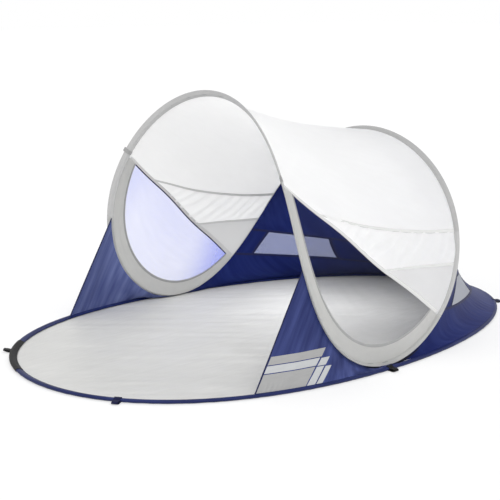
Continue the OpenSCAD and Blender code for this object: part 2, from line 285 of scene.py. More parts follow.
def along_path(path: Array, over: Array, profile: Array) -> Array:
    """Rings of a profile carried along a path.

    A profile point (s, h) lies s along the over direction and h along the cross product of the
    path's direction and the over direction.

    Args:
        path: centre points, shape (n, 3).
        over: unit vectors across the path, shape (n, 3).
        profile: points (s, h), shape (m, 2), or (n, m, 2) where the profile changes along the path.

    Returns:
        Points of shape (n, m, 3).
    """
    ahead = unit(np.gradient(path, axis=0))
    side = unit(np.cross(ahead, over))
    profile = np.broadcast_to(profile, (len(path),) + profile.shape[-2:])
    return path[:, None] + profile[..., :1] * over[:, None] + profile[..., 1:] * side[:, None]


def ring_angles(sides: int) -> Array:
    """Angles of a ring's points in degrees, starting at the over direction."""
    return np.arange(sides) * 360.0 / sides


# ---- Materials ----
# A Wave texture of scale 1 has bands tau / 20 apart, so this over a spacing is the scale that gives it
WAVE_SCALE = math.tau / 20


def linear(colour: str) -> tuple[float, float, float, float]:
    """An sRGB hex colour such as "2d3662" as linear red, green, blue and alpha 1."""
    parts = [int(colour[i : i + 2], 16) / 255 for i in (0, 2, 4)]
    return tuple(c / 12.92 if c <= 0.04045 else ((c + 0.055) / 1.055) ** 2.4 for c in parts) + (1.0,)


def add_node(
    tree: bpy.types.NodeTree, kind: str, inputs: dict | None = None, **settings: Any
) -> bpy.types.Node:
    """Adds a node to a tree, with its settings and links.

    Args:
        tree: node tree to add to.
        kind: the node's type name.
        inputs: value or output socket for each input, by the input's name or number.
        settings: properties of the node itself.

    Returns:
        The new node.
    """
    node = tree.nodes.new(kind)
    for key, value in settings.items():
        setattr(node, key, value)
    for key, value in (inputs or {}).items():
        if isinstance(value, bpy.types.NodeSocket):
            tree.links.new(value, node.inputs[key])
        else:
            node.inputs[key].default_value = value
    return node


def new_material(name: str) -> tuple[bpy.types.Material, bpy.types.NodeTree]:
    """An empty node material and its tree."""
    material = bpy.data.materials.new(name)
    material.use_nodes = True
    material.node_tree.nodes.clear()
    return material, material.node_tree


@dataclass(frozen=True)
class Cloth:
    """A plain-woven coated cloth, seen as a base colour with streaks, weave and soft crinkles."""

    name: str
    colour: str
    streak: str
    rough: float = 0.6
    sheen: float = 0.1
    through: float = 0.0
    glow: str = "ffffff"
    crinkle: float = 18 * MM
    crinkle_long: float = 5.0
    bump: float = 0.8 * MM
    # Real threads lie about 0.4 mm apart, too fine to show, so a rib of a dozen is drawn
    thread: float = 5 * MM
    # Second tone mixed in by the piece's pale attribute: painted shade on the canopy's corner panels, painted
    # light on the tall arch's sleeve
    pale: str = ""
    gloss: float = 0.5
    upright: bool = False

    def material(self) -> bpy.types.Material:
        """Builds the node material.

        The weave is two crossed waves at the thread's spacing on the piece's own flat map, the
        streaks are noise drawn out along the threads, and both also raise the surface. A Translucent
        shader passes the share of light that the cloth lets through.

        Returns:
            The material.
        """
        material, tree = new_material(self.name)
        place = add_node(tree, "ShaderNodeUVMap", uv_map="flat").outputs[0]
        scale = (1.0, 1 / self.crinkle_long, 1.0) if self.upright else (1 / self.crinkle_long, 1.0, 1.0)
        long = add_node(tree, "ShaderNodeMapping", {"Vector": place, "Scale": scale})
        soft = add_node(
            tree, "ShaderNodeTexNoise", {"Vector": long.outputs[0], "Scale": 1 / self.crinkle, "Detail": 3.0}
        ).outputs["Fac"]
        patch = add_node(
            tree, "ShaderNodeTexNoise", {"Vector": place, "Scale": 4.0, "Detail": 2.0}
        ).outputs["Fac"]
        per_thread = {"Vector": place, "Scale": WAVE_SCALE / self.thread}
        warp, weft = (add_node(tree, "ShaderNodeTexWave", per_thread, bands_direction=way) for way in "XY")
        crossed = {0: warp.outputs["Fac"], 1: weft.outputs["Fac"]}
        weave = add_node(tree, "ShaderNodeMath", crossed, operation="MULTIPLY").outputs[0]
        blend = add_node(tree, "ShaderNodeMath", {0: soft, 1: patch}, operation="MULTIPLY").outputs[0]
        spread = add_node(
            tree, "ShaderNodeMapRange", {"Value": blend, "From Min": 0.15, "From Max": 0.38}
        ).outputs[0]
        tones = {"Factor": spread, 6: linear(self.colour), 7: linear(self.streak)}
        colour = add_node(tree, "ShaderNodeMix", tones, data_type="RGBA").outputs[2]
        glow = linear(self.glow)
        # The pale attribute mixes that second tone into the base colour and the light through it: painted
        # shade on the canopy's corners, painted light on the tall arch's sleeve
        if self.pale:
            zone = add_node(tree, "ShaderNodeAttribute", attribute_name="pale").outputs["Fac"]
            pairs = [{"Factor": zone, 6: own, 7: linear(self.pale)} for own in (colour, glow)]
            mixes = [add_node(tree, "ShaderNodeMix", pair, data_type="RGBA") for pair in pairs]
            colour, glow = (mix.outputs[2] for mix in mixes)
        height = add_node(tree, "ShaderNodeMath", {0: weave, 1: 0.12, 2: soft}, operation="MULTIPLY_ADD")
        relief = {"Strength": 1.0, "Distance": self.bump, "Height": height.outputs[0]}
        bump = add_node(tree, "ShaderNodeBump", relief)
        face = add_node(
            tree,
            "ShaderNodeBsdfPrincipled",
            {
                "Base Color": colour,
                "Roughness": self.rough,
                "Sheen Weight": self.sheen,
                "Sheen Roughness": 0.4,
                "Specular IOR Level": self.gloss,
                "Normal": bump.outputs[0],
            },
        )
        shown = face.outputs[0]
        if self.through:
            light = add_node(tree, "ShaderNodeBsdfTranslucent", {"Color": glow, "Normal": bump.outputs[0]})
            mixed = {0: self.through, 1: shown, 2: light.outputs[0]}
            shown = add_node(tree, "ShaderNodeMixShader", mixed).outputs[0]
        add_node(tree, "ShaderNodeOutputMaterial", {"Surface": shown})
        return material


@dataclass(frozen=True)
class Net:
    """Knitted polyester net, seen as a share of thread over what is behind it.

    The net is a closed sheet, so a ray meets its cover twice.
    """

    name: str
    colour: str
    cover: float
    dense: float
    # Real knit rows lie about 1 mm apart and can't show, so soft bands of rows are drawn
    row: float = 14 * MM

    def material(self) -> bpy.types.Material:
        """Builds the node material.

        The net's cover rises from its plain share to its dense share with the piece's own "dense"
        attribute, and noise drawn out along the knit rows moves it up and down a little.

        Returns:
            The material.
        """
        material, tree = new_material(self.name)
        place = add_node(tree, "ShaderNodeUVMap", uv_map="flat").outputs[0]
        long = add_node(tree, "ShaderNodeMapping", {"Vector": place, "Scale": (0.15, 1.0, 1.0)})
        rows = add_node(
            tree, "ShaderNodeTexNoise", {"Vector": long.outputs[0], "Scale": 1 / self.row, "Detail": 1.0}
        ).outputs["Fac"]
        zone = add_node(tree, "ShaderNodeAttribute", attribute_name="dense").outputs["Fac"]
        share = add_node(
            tree, "ShaderNodeMapRange", {"Value": zone, "To Min": self.cover, "To Max": self.dense}
        ).outputs[0]
        alpha = add_node(tree, "ShaderNodeMath", {0: rows, 1: 0.04, 2: share}, operation="MULTIPLY_ADD")
        looks = {"Base Color": linear(self.colour), "Roughness": 0.7, "Specular IOR Level": 0.2}
        face = add_node(tree, "ShaderNodeBsdfPrincipled", looks)
        back = add_node(tree, "ShaderNodeBsdfTranslucent", {"Color": linear(self.colour)})
        thread = add_node(tree, "ShaderNodeMixShader", {0: 0.6, 1: face.outputs[0], 2: back.outputs[0]})
        hole = add_node(tree, "ShaderNodeBsdfTransparent")
        mixed = {0: alpha.outputs[0], 1: hole.outputs[0], 2: thread.outputs[0]}
        shown = add_node(tree, "ShaderNodeMixShader", mixed)
        add_node(tree, "ShaderNodeOutputMaterial", {"Surface": shown.outputs[0]})
        return material


@dataclass(frozen=True)
class Webbing:
    """Woven polypropylene webbing or binding: ribs across it and a slightly waxy face."""

    name: str
    colour: str
    streak: str
    # Real ribs lie about 1.5 mm apart, drawn twice as coarse to show
    rib: float = 3 * MM
    rough: float = 0.5
    gloss: float = 0.5

    def material(self) -> bpy.types.Material:
        """Builds the node material: waves across the piece's flat map tint and raise its ribs."""
        material, tree = new_material(self.name)
        place = add_node(tree, "ShaderNodeUVMap", uv_map="flat").outputs[0]
        across = {"Vector": place, "Scale": WAVE_SCALE / self.rib}
        ribs = add_node(tree, "ShaderNodeTexWave", across, bands_direction="X").outputs["Fac"]
        fuzz = add_node(
            tree, "ShaderNodeTexNoise", {"Vector": place, "Scale": 400.0, "Detail": 2.0}
        ).outputs["Fac"]
        tone = add_node(tree, "ShaderNodeMath", {0: ribs, 1: fuzz}, operation="MULTIPLY").outputs[0]
        tones = {"Factor": tone, 6: linear(self.colour), 7: linear(self.streak)}
        colour = add_node(tree, "ShaderNodeMix", tones, data_type="RGBA")
        bump = add_node(tree, "ShaderNodeBump", {"Strength": 0.6, "Distance": 0.3 * MM, "Height": ribs})
        face = add_node(
            tree,
            "ShaderNodeBsdfPrincipled",
            {
                "Base Color": colour.outputs[2],
                "Roughness": self.rough,
                "Specular IOR Level": self.gloss,
                "Normal": bump.outputs[0],
            },
        )
        add_node(tree, "ShaderNodeOutputMaterial", {"Surface": face.outputs[0]})
        return material


@dataclass(frozen=True)
class SpringSteel:
    """Drawn spring steel wire with a grey phosphate coat, seen as dull metal with fine draw marks."""

    name: str = "drawn_spring_steel"
    colour: str = "8c8f94"

    def material(self) -> bpy.types.Material:
        """Builds the node material: noise in the object's own place varies the coat's roughness."""
        material, tree = new_material(self.name)
        place = add_node(tree, "ShaderNodeTexCoord").outputs["Object"]
        marks = add_node(tree, "ShaderNodeTexNoise", {"Vector": place, "Scale": 300.0, "Detail": 3.0})
        rough = add_node(
            tree, "ShaderNodeMapRange", {"Value": marks.outputs["Fac"], "To Min": 0.3, "To Max": 0.55}
        )
        face = add_node(
            tree,
            "ShaderNodeBsdfPrincipled",
            {"Base Color": linear(self.colour), "Metallic": 1.0, "Roughness": rough.outputs[0]},
        )
        add_node(tree, "ShaderNodeOutputMaterial", {"Surface": face.outputs[0]})
        return material


# Polyester taffeta with a clear coating: white, and thin enough to let a good share of light through.
# Its pale tone is painted shade: a greyer tone on the corner panels' inner face, which lies in the shade of
# the band beside it
WHITE_CANOPY = Cloth(
    "white_taffeta", "f8f8f8", "ffffff", sheen=0.05, through=0.66, crinkle=20 * MM, crinkle_long=4.0,
    bump=0.5 * MM, pale="e0e0e0",
)
# The same taffeta dyed navy: a slight satin gloss, and deep blue light through it
NAVY = Cloth(
    "navy_taffeta", "182252", "2a3468", rough=0.45, sheen=0.03, through=0.16, glow="1c2a9c", crinkle=12 * MM,
    crinkle_long=8.0, bump=0.9 * MM, gloss=0.2,
)
# The same navy taffeta as a lit copy on the front wing's face: its slightly lighter base is painted light,
# and its light streaks are painted highlights along its long upright creases
NAVY_PAINTED_HIGHLIGHTS = replace(
    NAVY, name="navy_taffeta_wall", colour="222c60", streak="4c5894", crinkle=26 * MM, gloss=0.25,
    upright=True,
)
# The same navy taffeta as a lit copy on the back wing's inner face: its much paler tone and light streaks are
# painted light, and it is a little more matt
NAVY_PAINTED_LIGHT = replace(
    NAVY_PAINTED_HIGHLIGHTS, name="navy_taffeta_inside", colour="4a5488", streak="7a86ba", rough=0.5, gloss=0.2
)
# The same navy taffeta as a shaded copy on the closed end: its darkest tone is painted shade, and it is the
# most matt and drawn with no light through it
NAVY_PAINTED_SHADE = replace(
    NAVY_PAINTED_HIGHLIGHTS, name="navy_taffeta_end", colour="0e1a54", streak="1e2b66", rough=0.5, sheen=0.0,
    through=0.0, gloss=0.1,
)
# Folded grey polyester sleeve, doubled and matt; its pale tone is painted light on the tall arch, lifting the
# arch where the lamps leave it darker, and the low arch's flanks take a little of it
SLEEVE_GREY = Cloth(
    "grey_polyester_sleeve", "9c9c9c", "a4a4a4", crinkle=9 * MM, crinkle_long=2.0, bump=0.3 * MM,
    pale="bababa",
)
# Pale grey polyester band beside the sleeve, single, so some light comes through
BAND_GREY = Cloth(
    "pale_grey_polyester_band", "babab8", "c2c2bf", through=0.34, crinkle=11 * MM, crinkle_long=3.0,
    bump=0.5 * MM,
)
# White taffeta folded double over the canopy's seams and edges
TAPE_WHITE = Webbing("white_seam_tape", "cdcdcc", "d8d8d7", rough=0.6)
# Pressed grey binding tape round the band and the keepers
TAPE_GREY = Webbing("grey_seam_tape", "969696", "a4a4a4", rough=0.6)
# Polyethylene-backed grey groundsheet: smoother and a little glossy, with long fine creases
FLOOR_GREY = Cloth(
    "grey_groundsheet", "c6c6c4", "cececc", rough=0.45, sheen=0.05, crinkle=14 * MM, crinkle_long=9.0,
    bump=1.0 * MM,
)
# Knitted polyester nets in the side openings, one net drawn in two tones: the back one glows lavender as
# painted backlight and is denser towards its corners, and the front one is fine dark thread, its darkness
# painted shade, that shows what is behind it
BACK_NET_PAINTED_BACKLIGHT = Net("net_painted_backlight", "8093ff", cover=0.11, dense=0.47)
FRONT_NET_PAINTED_SHADE = Net("net_painted_shade", "34343a", cover=0.1, dense=0.14)
# Closer knitted polyester nets in the closed end's windows, one net drawn in two tones: the back one's slate
# blue is painted backlight, and the front one's pale grey, nearly solid, is painted light that stands for the
# lit groundsheet seen through it
WINDOW_NET_PAINTED_BACKLIGHT = Net("window_net", "6272b0", cover=0.54, dense=0.54)
END_NET_PAINTED_LIGHT = Net("end_window_net", "ccced4", cover=0.88, dense=0.88)
# Black polypropylene webbing, and its navy twin
BLACK_WEB = Webbing("black_webbing", "08080a", "18181c", gloss=0.15)
NAVY_WEB = Webbing("navy_webbing", "090c30", "161c4a", gloss=0.15)
# Dark navy woven polyester binding, folded over edges and seams and matt
DARK_BINDING = Webbing("dark_binding", "12163c", "1e2450", rough=0.55, gloss=0.2)
# Dark grey coated patch cloth over the joint of the hem wire
PATCH_GREY = Cloth(
    "dark_grey_patch_cloth", "1e1e1e", "282828", sheen=0.0, crinkle=8 * MM, crinkle_long=2.0,
    bump=0.4 * MM, gloss=0.15,
)
# Screen print inks on the wing: flat colours with the cloth's own grain
INK_GREY = Cloth(
    "grey_screen_print", "979797", "9d9d9d", rough=0.5, crinkle=10 * MM, crinkle_long=4.0, bump=0.4 * MM
)
INK_PALE = replace(INK_GREY, name="pale_screen_print", colour="b0b2b4", streak="b8babc")
# Drawn spring steel for the two wires
STEEL = SpringSteel()

Finish = Cloth | Net | Webbing | SpringSteel
_made: dict[str, bpy.types.Material] = {}


def dress(obj: bpy.types.Object, finish: Finish) -> None:
    """Gives a piece its finish."""
    if finish.name not in _made:
        _made[finish.name] = finish.material()
    obj.data.materials.clear()
    obj.data.materials.append(_made[finish.name])


def settle(obj: bpy.types.Object, finish: Finish, slot: str, *nodes: str) -> bpy.types.Object:
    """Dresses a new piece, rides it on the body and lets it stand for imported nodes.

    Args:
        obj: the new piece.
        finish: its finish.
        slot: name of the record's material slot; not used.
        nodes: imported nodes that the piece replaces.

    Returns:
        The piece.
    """
    dress(obj, finish)
    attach(obj, BODY)
    if nodes:
        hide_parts(*nodes)
    stands_for = ", ".join(nodes) or "trim"
    log.info("%s: %d faces, %s, for %s", obj.name, len(obj.data.polygons), finish.name, stands_for)
    return obj


def mark(obj: bpy.types.Object, name: str, values: Array) -> None:
    """Keeps one number per point of a mesh as a named attribute for its material."""
    attribute = obj.data.attributes.new(name, "FLOAT", "POINT")
    attribute.data.foreach_set("value", np.asarray(values, np.float32).ravel())


# ---- Curves that the sub-assemblies share ----
@dataclass(frozen=True)
class Plan:
    """Sizes and curves of the groundsheet's outline and of the spring hoop."""

    floor_l: float = 1.950
    floor_w: float = 1.241
    floor_skew: float = 0.030
    floor_full: float = 0.013
    floor_t: float = 0.003
    tall_h: float = 0.844
    low_h: float = 0.679
    tall_x: float = -0.268
    low_x: float = 0.456
    foot_x: float = 0.057
    foot_gap: float = 0.0435
    belly: float = 0.075
    square: float = 0.074
    sleeve_r: float = 0.009
    seam_in: float = 0.0095
    wall_in: float = 0.0045
    hem_rise: float = 0.0032
    corner_left: float = 56.3
    corner_right: float = 25.9
    # Centre that the flat sleeve points away from, how far it shifts to each arch and sinks at the feet
    aim_x: float = -0.06
    aim_shift: float = 0.14
    aim_z: float = 0.255
    aim_sink: float = 0.16
    # How far the walls dip beside the feet, by a straight share and by a half sine, and their least clearance
    foot_dip: float = 8 * MM
    foot_bow: float = 9 * MM
    foot_clear: float = 0.006

    def hoop(self, t: Any) -> Array:
        """Centre of the spring hoop's sleeve at angle t.

        Each coordinate is a short sum of sines and cosines of t, so that the hoop is a saddle with
        its feet at 0 and 180, the tall arch's top at 90 and the low arch's top at 270.
        """
        mid_x, mid_h = (self.low_x + self.tall_x) / 2, (self.tall_h + self.low_h) / 2
        foot_z = self.floor_t + self.sleeve_r
        x0, x2 = (mid_x - self.foot_x) / 2, (-self.foot_x - mid_x) / 2
        x1 = (self.low_x - self.tall_x) / 2 + self.belly
        z0, z1, z2 = (mid_h + foot_z) / 2, (self.tall_h - self.low_h) / 2, (mid_h - foot_z) / 2
        reach = self.floor_w / 2 - self.foot_gap + self.square
        return point(
            x0 - x1 * sind(t) + x2 * cosd(2 * t) - self.belly * sind(3 * t),
            self.square * cosd(3 * t) - reach * cosd(t),
            z0 + z1 * sind(t) - z2 * cosd(2 * t),
        )

    def ahead(self, t: Any) -> Array:
        """Unit direction of the hoop, from a small step either way."""
        step = 0.5
        return unit(self.hoop(np.asarray(t) + step) - self.hoop(np.asarray(t) - step))

    def outward(self, t: Any) -> Array:
        """Direction in which the flat sleeve stands off the panels.

        It points from a centre low inside the shelter, which shifts from one arch to the other and
        sinks towards the feet, and is squared to the hoop.
        """
        sink = (1 - np.abs(sind(t))) ** 2
        centre = point(self.aim_x + self.aim_shift * sind(t), 0.0, self.aim_z - self.aim_sink * sink)
        away = self.hoop(t) - centre
        ahead = self.ahead(t)
        return unit(away - (away * ahead).sum(-1, keepdims=True) * ahead)

    def seam(self, t: Any) -> Array:
        """Line along the sleeve's inner edge, where every panel is sewn to it."""
        return self.hoop(t) - self.outward(t) * self.seam_in

    def wall(self, low: Array, t: Array, up: Array) -> Array:
        """Stretched wall from the hem up into the sleeve.

        Straight lines run from one to the other. Beside the feet they dip by a straight share and a
        half sine, so that the flat sleeve lies over the wall.

        Args:
            low: points along the top of the hem.
            t: hoop angle above each of them.
            up: share of the way up.

        Returns:
            Points on the grid.
        """
        p = lerp(low, self.hoop(t) - self.outward(t) * self.wall_in, up[..., None])
        foot = 1 - smooth(np.abs(sind(t)), 0.0, 0.45)
        z = p[..., 2] - foot * (self.foot_dip * up + self.foot_bow * sind(180 * np.clip(up, 0, 1)))
        least = self.floor_t + self.foot_clear
        return point(p[..., 0], p[..., 1], np.where(foot > 0, np.maximum(z, least), z))

    def edge(self, a: Any) -> Array:
        """Outer edge of the groundsheet at angle a, as x and y.

        It is an ellipse whose shoulders are filled by a third harmonic and whose open end is widened
        by a second one; a is 0 at the closed end, 90 at the back and 180 at the open end.
        """
        y = (self.floor_w / 2 + self.floor_full) * sind(a) - self.floor_skew * sind(2 * np.asarray(a))
        y = y + self.floor_full * sind(3 * np.asarray(a))
        return np.stack(np.broadcast_arrays(self.floor_l / 2 * cosd(a), y), -1)

    def edge_out(self, a: Any) -> Array:
        """Unit normal of that edge, pointing away from the middle."""
        d = unit(self.edge(np.asarray(a) + 1.0) - self.edge(np.asarray(a) - 1.0))
        return np.stack([d[..., 1], -d[..., 0]], -1)

    def hem(self, a: Any, inset: Any, z: Any) -> Array:
        """Points at an inset from the groundsheet's edge and at a height."""
        p = self.edge(a) - np.asarray(inset)[..., None] * self.edge_out(a)
        return point(p[..., 0], p[..., 1], z)

    def hem_top(self, a: Any) -> Array:
        """Line along the top of the hem, where the walls are sewn to it."""
        return self.hem(a, self.sleeve_r, self.sleeve_r + self.hem_rise)

    def floor_angle(self, x: float) -> float:
        """Angle of the groundsheet's edge on the back side at a given x."""
        return math.degrees(math.acos(2 * x / self.floor_l))


PLAN = Plan()


def on_side(p: Array, side: Side) -> Array:
    """A grid made for the back side, mirrored in Y and turned inside out for the front side."""
    return p if side is Side.BACK else (p * (1.0, -1.0, 1.0))[:, ::-1]


# ---- Groundsheet ----
@dataclass
class Groundsheet:
    """The flat groundsheet, its sprung hem and the patch over the hem wire's joint."""

    plan: Plan = PLAN
    thick: float = 1.2 * MM
    crease: float = 1.1 * MM
    crease_turn: float = -39.0
    hem_in: float = 0.0135
    patch_from: float = 146.0
    patch_to: float = 171.0
    patch_low: float = -45.0
    patch_high: float = 172.0
    tuck: float = 0.006

    def sheet(self) -> None:
        """Builds the sheet on a square grid bent into the outline, with long fine creases.

        Each point (x, y) of the square goes to the disc at (x sqrt(1 - y^2/2), y sqrt(1 - x^2/2)),
        and the disc's radius is scaled by the outline at that angle.
        """
        u, v = grid(240, 160)
        x, y = 2 * u - 1, 2 * v - 1
        dx, dy = x * np.sqrt(1 - y * y / 2), y * np.sqrt(1 - x * x / 2)
        r, a = np.hypot(dx, dy), np.degrees(np.arctan2(dy, dx))
        rim = self.plan.hem(a, self.tuck, 0.0)
        px, py = rim[..., 0] * r, rim[..., 1] * r
        calm = 1 - smooth(r, 0.93, 0.99)
        lift = creases(px, py, self.crease_turn, 0.026, 0.22, 11)
        lift = lift + 0.6 * creases(px, py, self.crease_turn + 12, 0.05, 0.3, 21)
        z = self.plan.floor_t - self.thick / 2 + self.crease * calm * (1.1 + lift)
        p = point(px, py, z)
        obj = settle(cloth("groundsheet", p, self.thick), FLOOR_GREY, "floor_grey", "floor_sheet")

    def profile(self, g: Array, grow: float = 0.0) -> Array:
        """Section of the hem: a low fold over the wire that thins to a flat lip at the sheet.

        Args:
            g: angles round the wire, 0 outward and 90 up.
            grow: how much larger the section is all round.

        Returns:
            Points (out, up) from the wire's centre.
        """
        r = self.plan.sleeve_r
        lip = np.clip(-cosd(g), 0, 1)
        out = (r + grow) * cosd(g) - (self.hem_in - r) * lip**1.5
        top = sind(g) > 0
        high = np.where(top, self.plan.hem_rise, r) + grow
        up = high * sind(g) * (1 - 0.55 * lip**1.2) - 3.5 * MM * lip * top
        return np.stack([out, up], -1)

    def hems(self) -> None:
        """Builds the four quarters of the hem: the section carried along the edge, slightly puckered.

        The section's second direction points down along this path, so it is flipped and its ring is
        turned round, which keeps the faces outward.
        """
        quarters = ("back_right", "back_left", "front_left", "front_right")
        for name, start in zip(quarters, (0.0, 90.0, 180.0, 270.0)):
            a = np.linspace(start, start + 90.0, 121)
            centre = self.plan.hem(a, self.plan.sleeve_r, self.plan.sleeve_r)
            out = self.plan.edge_out(a)
            out = point(out[:, 0], out[:, 1], 0.0)
            s = np.concatenate([[0.0], np.cumsum(np.linalg.norm(np.diff(centre, axis=0), axis=1))])
            pucker = 1 + 0.05 * noise(s[:, None] / 0.012, ring_angles(16)[None, :] / 60, 31)
            profile = self.profile(ring_angles(16))[None] * pucker[..., None]
            profile[..., 1] = np.clip(profile[..., 1], 0.0003 - self.plan.sleeve_r, self.plan.sleeve_r)
            rings = along_path(centre, out, (profile * (1.0, -1.0))[:, ::-1])
            obj = settle(tube(f"hem_{name}", rings), NAVY, "navy_fabric", f"hem_sleeve_{name}")

    def patch(self) -> None:
        """Builds the dark patch: an arc of cloth laid over the top and outside of the hem."""
        u, v = grid(70, 18)
        a, g = lerp(self.patch_from, self.patch_to, u), lerp(self.patch_low, self.patch_high, v)
        out = self.plan.edge_out(a)
        section = self.profile(g, 1.3 * MM)
        section = section + 0.2 * MM * noise(u * 60, v * 6, 41)[..., None]
        centre = self.plan.hem(a, self.plan.sleeve_r, self.plan.sleeve_r)
        p = centre + point(out[..., 0] * section[..., 0], out[..., 1] * section[..., 0], section[..., 1])
        obj = settle(cloth("hem_patch_cloth", p, 1.0 * MM), PATCH_GREY, "patch_grey", "hem_patch")

    def build(self) -> None:
        """Builds every piece of the groundsheet and dresses the hem's wire."""
        self.hems()
        self.sheet()
        self.patch()
        dress(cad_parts["hem_wire"], STEEL)


# ---- Spring hoop ----
@dataclass
class SpringHoop:
    """The flat sleeve that holds the spring wire all round the two arches."""

    plan: Plan = PLAN
    inner: float = 11.0 * MM
    outer_tall: float = 15.0 * MM
    outer_low: float = 12.5 * MM
    outer_foot: float = 14.0 * MM
    outer_waist: float = 5.0 * MM
    bulge: float = 3.7 * MM
    lip: float = 1.5 * MM
    grey_back: float = 141.0
    white_front: float = 55.0
    grey_right: float = 311.5
    sides: int = 24
    # Shares of the pale tone: on the tall arch it is painted light, and the low arch's flanks take less
    painted_light_tall: float = 0.85
    pale_low: float = 0.4
    keeper_from: float = 178.4
    keeper_to: float = 179.4
    keeper_reach: float = 5.0 * MM
    # A dark roll at each foot paints the contact shadow: its span round the hoop, its offset and its radius
    foot_shadow_from: float = -16.0
    foot_shadow_to: float = 7.0
    foot_shadow_out: float = 4.0 * MM
    foot_shadow_r: float = 2.6 * MM

    def profile(self, t: Array, grow: float = 0.0) -> Array:
        """Section of the sleeve at each hoop angle: a flat strip with a soft swelling over the wire.

        The strip reaches less far out on the low arch's flanks than elsewhere.

        Args:
            t: hoop angles.
            grow: how much larger the section is all round.

        Returns:
            Points (out, over) from the wire, one ring for each angle.
        """
        g = ring_angles(self.sides)
        tall = lerp(self.outer_foot, self.outer_tall, smooth(sind(t), 0.05, 0.6))
        flank = lerp(self.outer_foot, self.outer_waist, smooth(-sind(t), 0.0, 0.45))
        low = lerp(flank, self.outer_low, smooth(-sind(t), 0.6, 1.0))
        outer = np.where(sind(t) > 0, tall, low)[:, None] + grow
        inner = self.inner + grow
        out = (outer - inner) / 2 + (outer + inner) / 2 * cosd(g)
        swell = lerp(self.lip, self.bulge, np.exp(-((out / (5 * MM)) ** 2))) + grow
        return np.stack([out, swell * np.sign(sind(g)) * np.abs(sind(g)) ** 0.7], -1)

    def sleeve(
        self,
        name: str,
        start: float,
        end: float,
        finish: Finish,
        slot: str,
        node: str,
        pale: float = 0.0,
        bare: float = -1.0,
    ) -> None:
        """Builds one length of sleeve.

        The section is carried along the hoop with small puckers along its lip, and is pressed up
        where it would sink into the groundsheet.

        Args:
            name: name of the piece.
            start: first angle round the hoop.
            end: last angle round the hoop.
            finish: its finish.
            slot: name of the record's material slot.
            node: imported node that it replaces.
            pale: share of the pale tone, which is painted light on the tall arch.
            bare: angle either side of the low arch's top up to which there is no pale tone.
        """
        t = np.linspace(start, end, max(int((end - start) * 2.2), 20))
        path = self.plan.hoop(t)
        s = np.concatenate([[0.0], np.cumsum(np.linalg.norm(np.diff(path, axis=0), axis=1))])
        g = ring_angles(self.sides)
        near = ((1 - cosd(g)) / 2)[None, :]
        wave = noise(s[:, None] / 0.022, g[None, :] / 90, 51) * near
        profile = self.profile(t)
        profile[..., 1] += 0.25 * MM * wave
        rings = along_path(path, self.plan.outward(t), profile)
        floor = self.plan.floor_t + 1.4 * MM
        rings[..., 2] = np.where(rings[..., 2] < floor, floor + (rings[..., 2] - floor) * 0.12, rings[..., 2])
        obj = settle(tube(name, rings), finish, slot, node)
        share = pale * (np.abs(t - 270) > bare)
        mark(obj, "pale", np.concatenate([np.repeat(share, self.sides), share[[0, -1]]]))

    def build(self) -> None:
        """Builds the four lengths of sleeve and the keepers, and dresses the wire."""
        right, front, back = self.plan.corner_right, self.white_front, self.grey_back
        arch, foot = (SLEEVE_GREY, "sleeve_grey"), (BAND_GREY, "band_grey")
        self.sleeve("sleeve_tall_arch", front, back, *arch, "arch_sleeve_left", self.painted_light_tall)
        bare = self.grey_right - 270
        low = (180 + right, 360 - right)
        self.sleeve("sleeve_low_arch", *low, *arch, "arch_sleeve_right", self.pale_low, bare)
        self.sleeve("sleeve_foot_front", -right, front, *foot, "foot_sleeve_front")
        self.sleeve("sleeve_foot_back", back, 180 + right, *foot, "foot_sleeve_back")
        self.keepers()
        self.foot_shadows()
        dress(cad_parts["spring_wire"], STEEL)

    def foot_shadows(self) -> None:
        """Builds a thin black roll of webbing along the sleeve's lower edge under each foot: painted shadow,
        a dark piece that stands in for the contact shadow where the foot meets the groundsheet.
        """
        for side in Side:
            u = np.linspace(0.0, 1.0, 60)
            start, end = self.foot_shadow_from, self.foot_shadow_to
            t = lerp(start, end, u) if side is Side.FRONT else lerp(180 - end, 180 - start, u)
            reach = self.profile(t)[:, 0, :1]
            path = self.plan.hoop(t) + self.plan.outward(t) * (reach + 1.0 * MM)
            path[:, 1] += side.value * self.foot_shadow_out
            path[:, 2] = np.maximum(path[:, 2] - 2.0 * MM, self.plan.floor_t + 3.4 * MM)
            g = ring_angles(12)
            r = self.foot_shadow_r * np.sqrt(np.maximum(sind(180 * u), 0.02))[:, None]
            rings = along_path(path, self.plan.outward(t), np.stack([r * cosd(g), r * sind(g)], -1))
            settle(tube(f"foot_strap_{side.word}", rings), BLACK_WEB, "webbing")

    def keepers(self) -> None:
        """Builds the two keepers: a narrow loop round the sleeve beside each corner of the canopy."""
        for side in Side:
            corner = self.plan.corner_left
            t = np.linspace(self.keeper_from - corner, self.keeper_to - corner, 6)
            t = t if side is Side.BACK else 180 - t[::-1]
            profile = self.profile(t, 1.0 * MM)
            profile[..., 0] += self.keeper_reach * smooth(profile[..., 0], 0.0, 0.012)
            rings = along_path(self.plan.hoop(t), self.plan.outward(t), profile)
            settle(tube(f"keeper_{side.word}", rings), TAPE_GREY, "webbing", f"arch_tab_{side.word}")


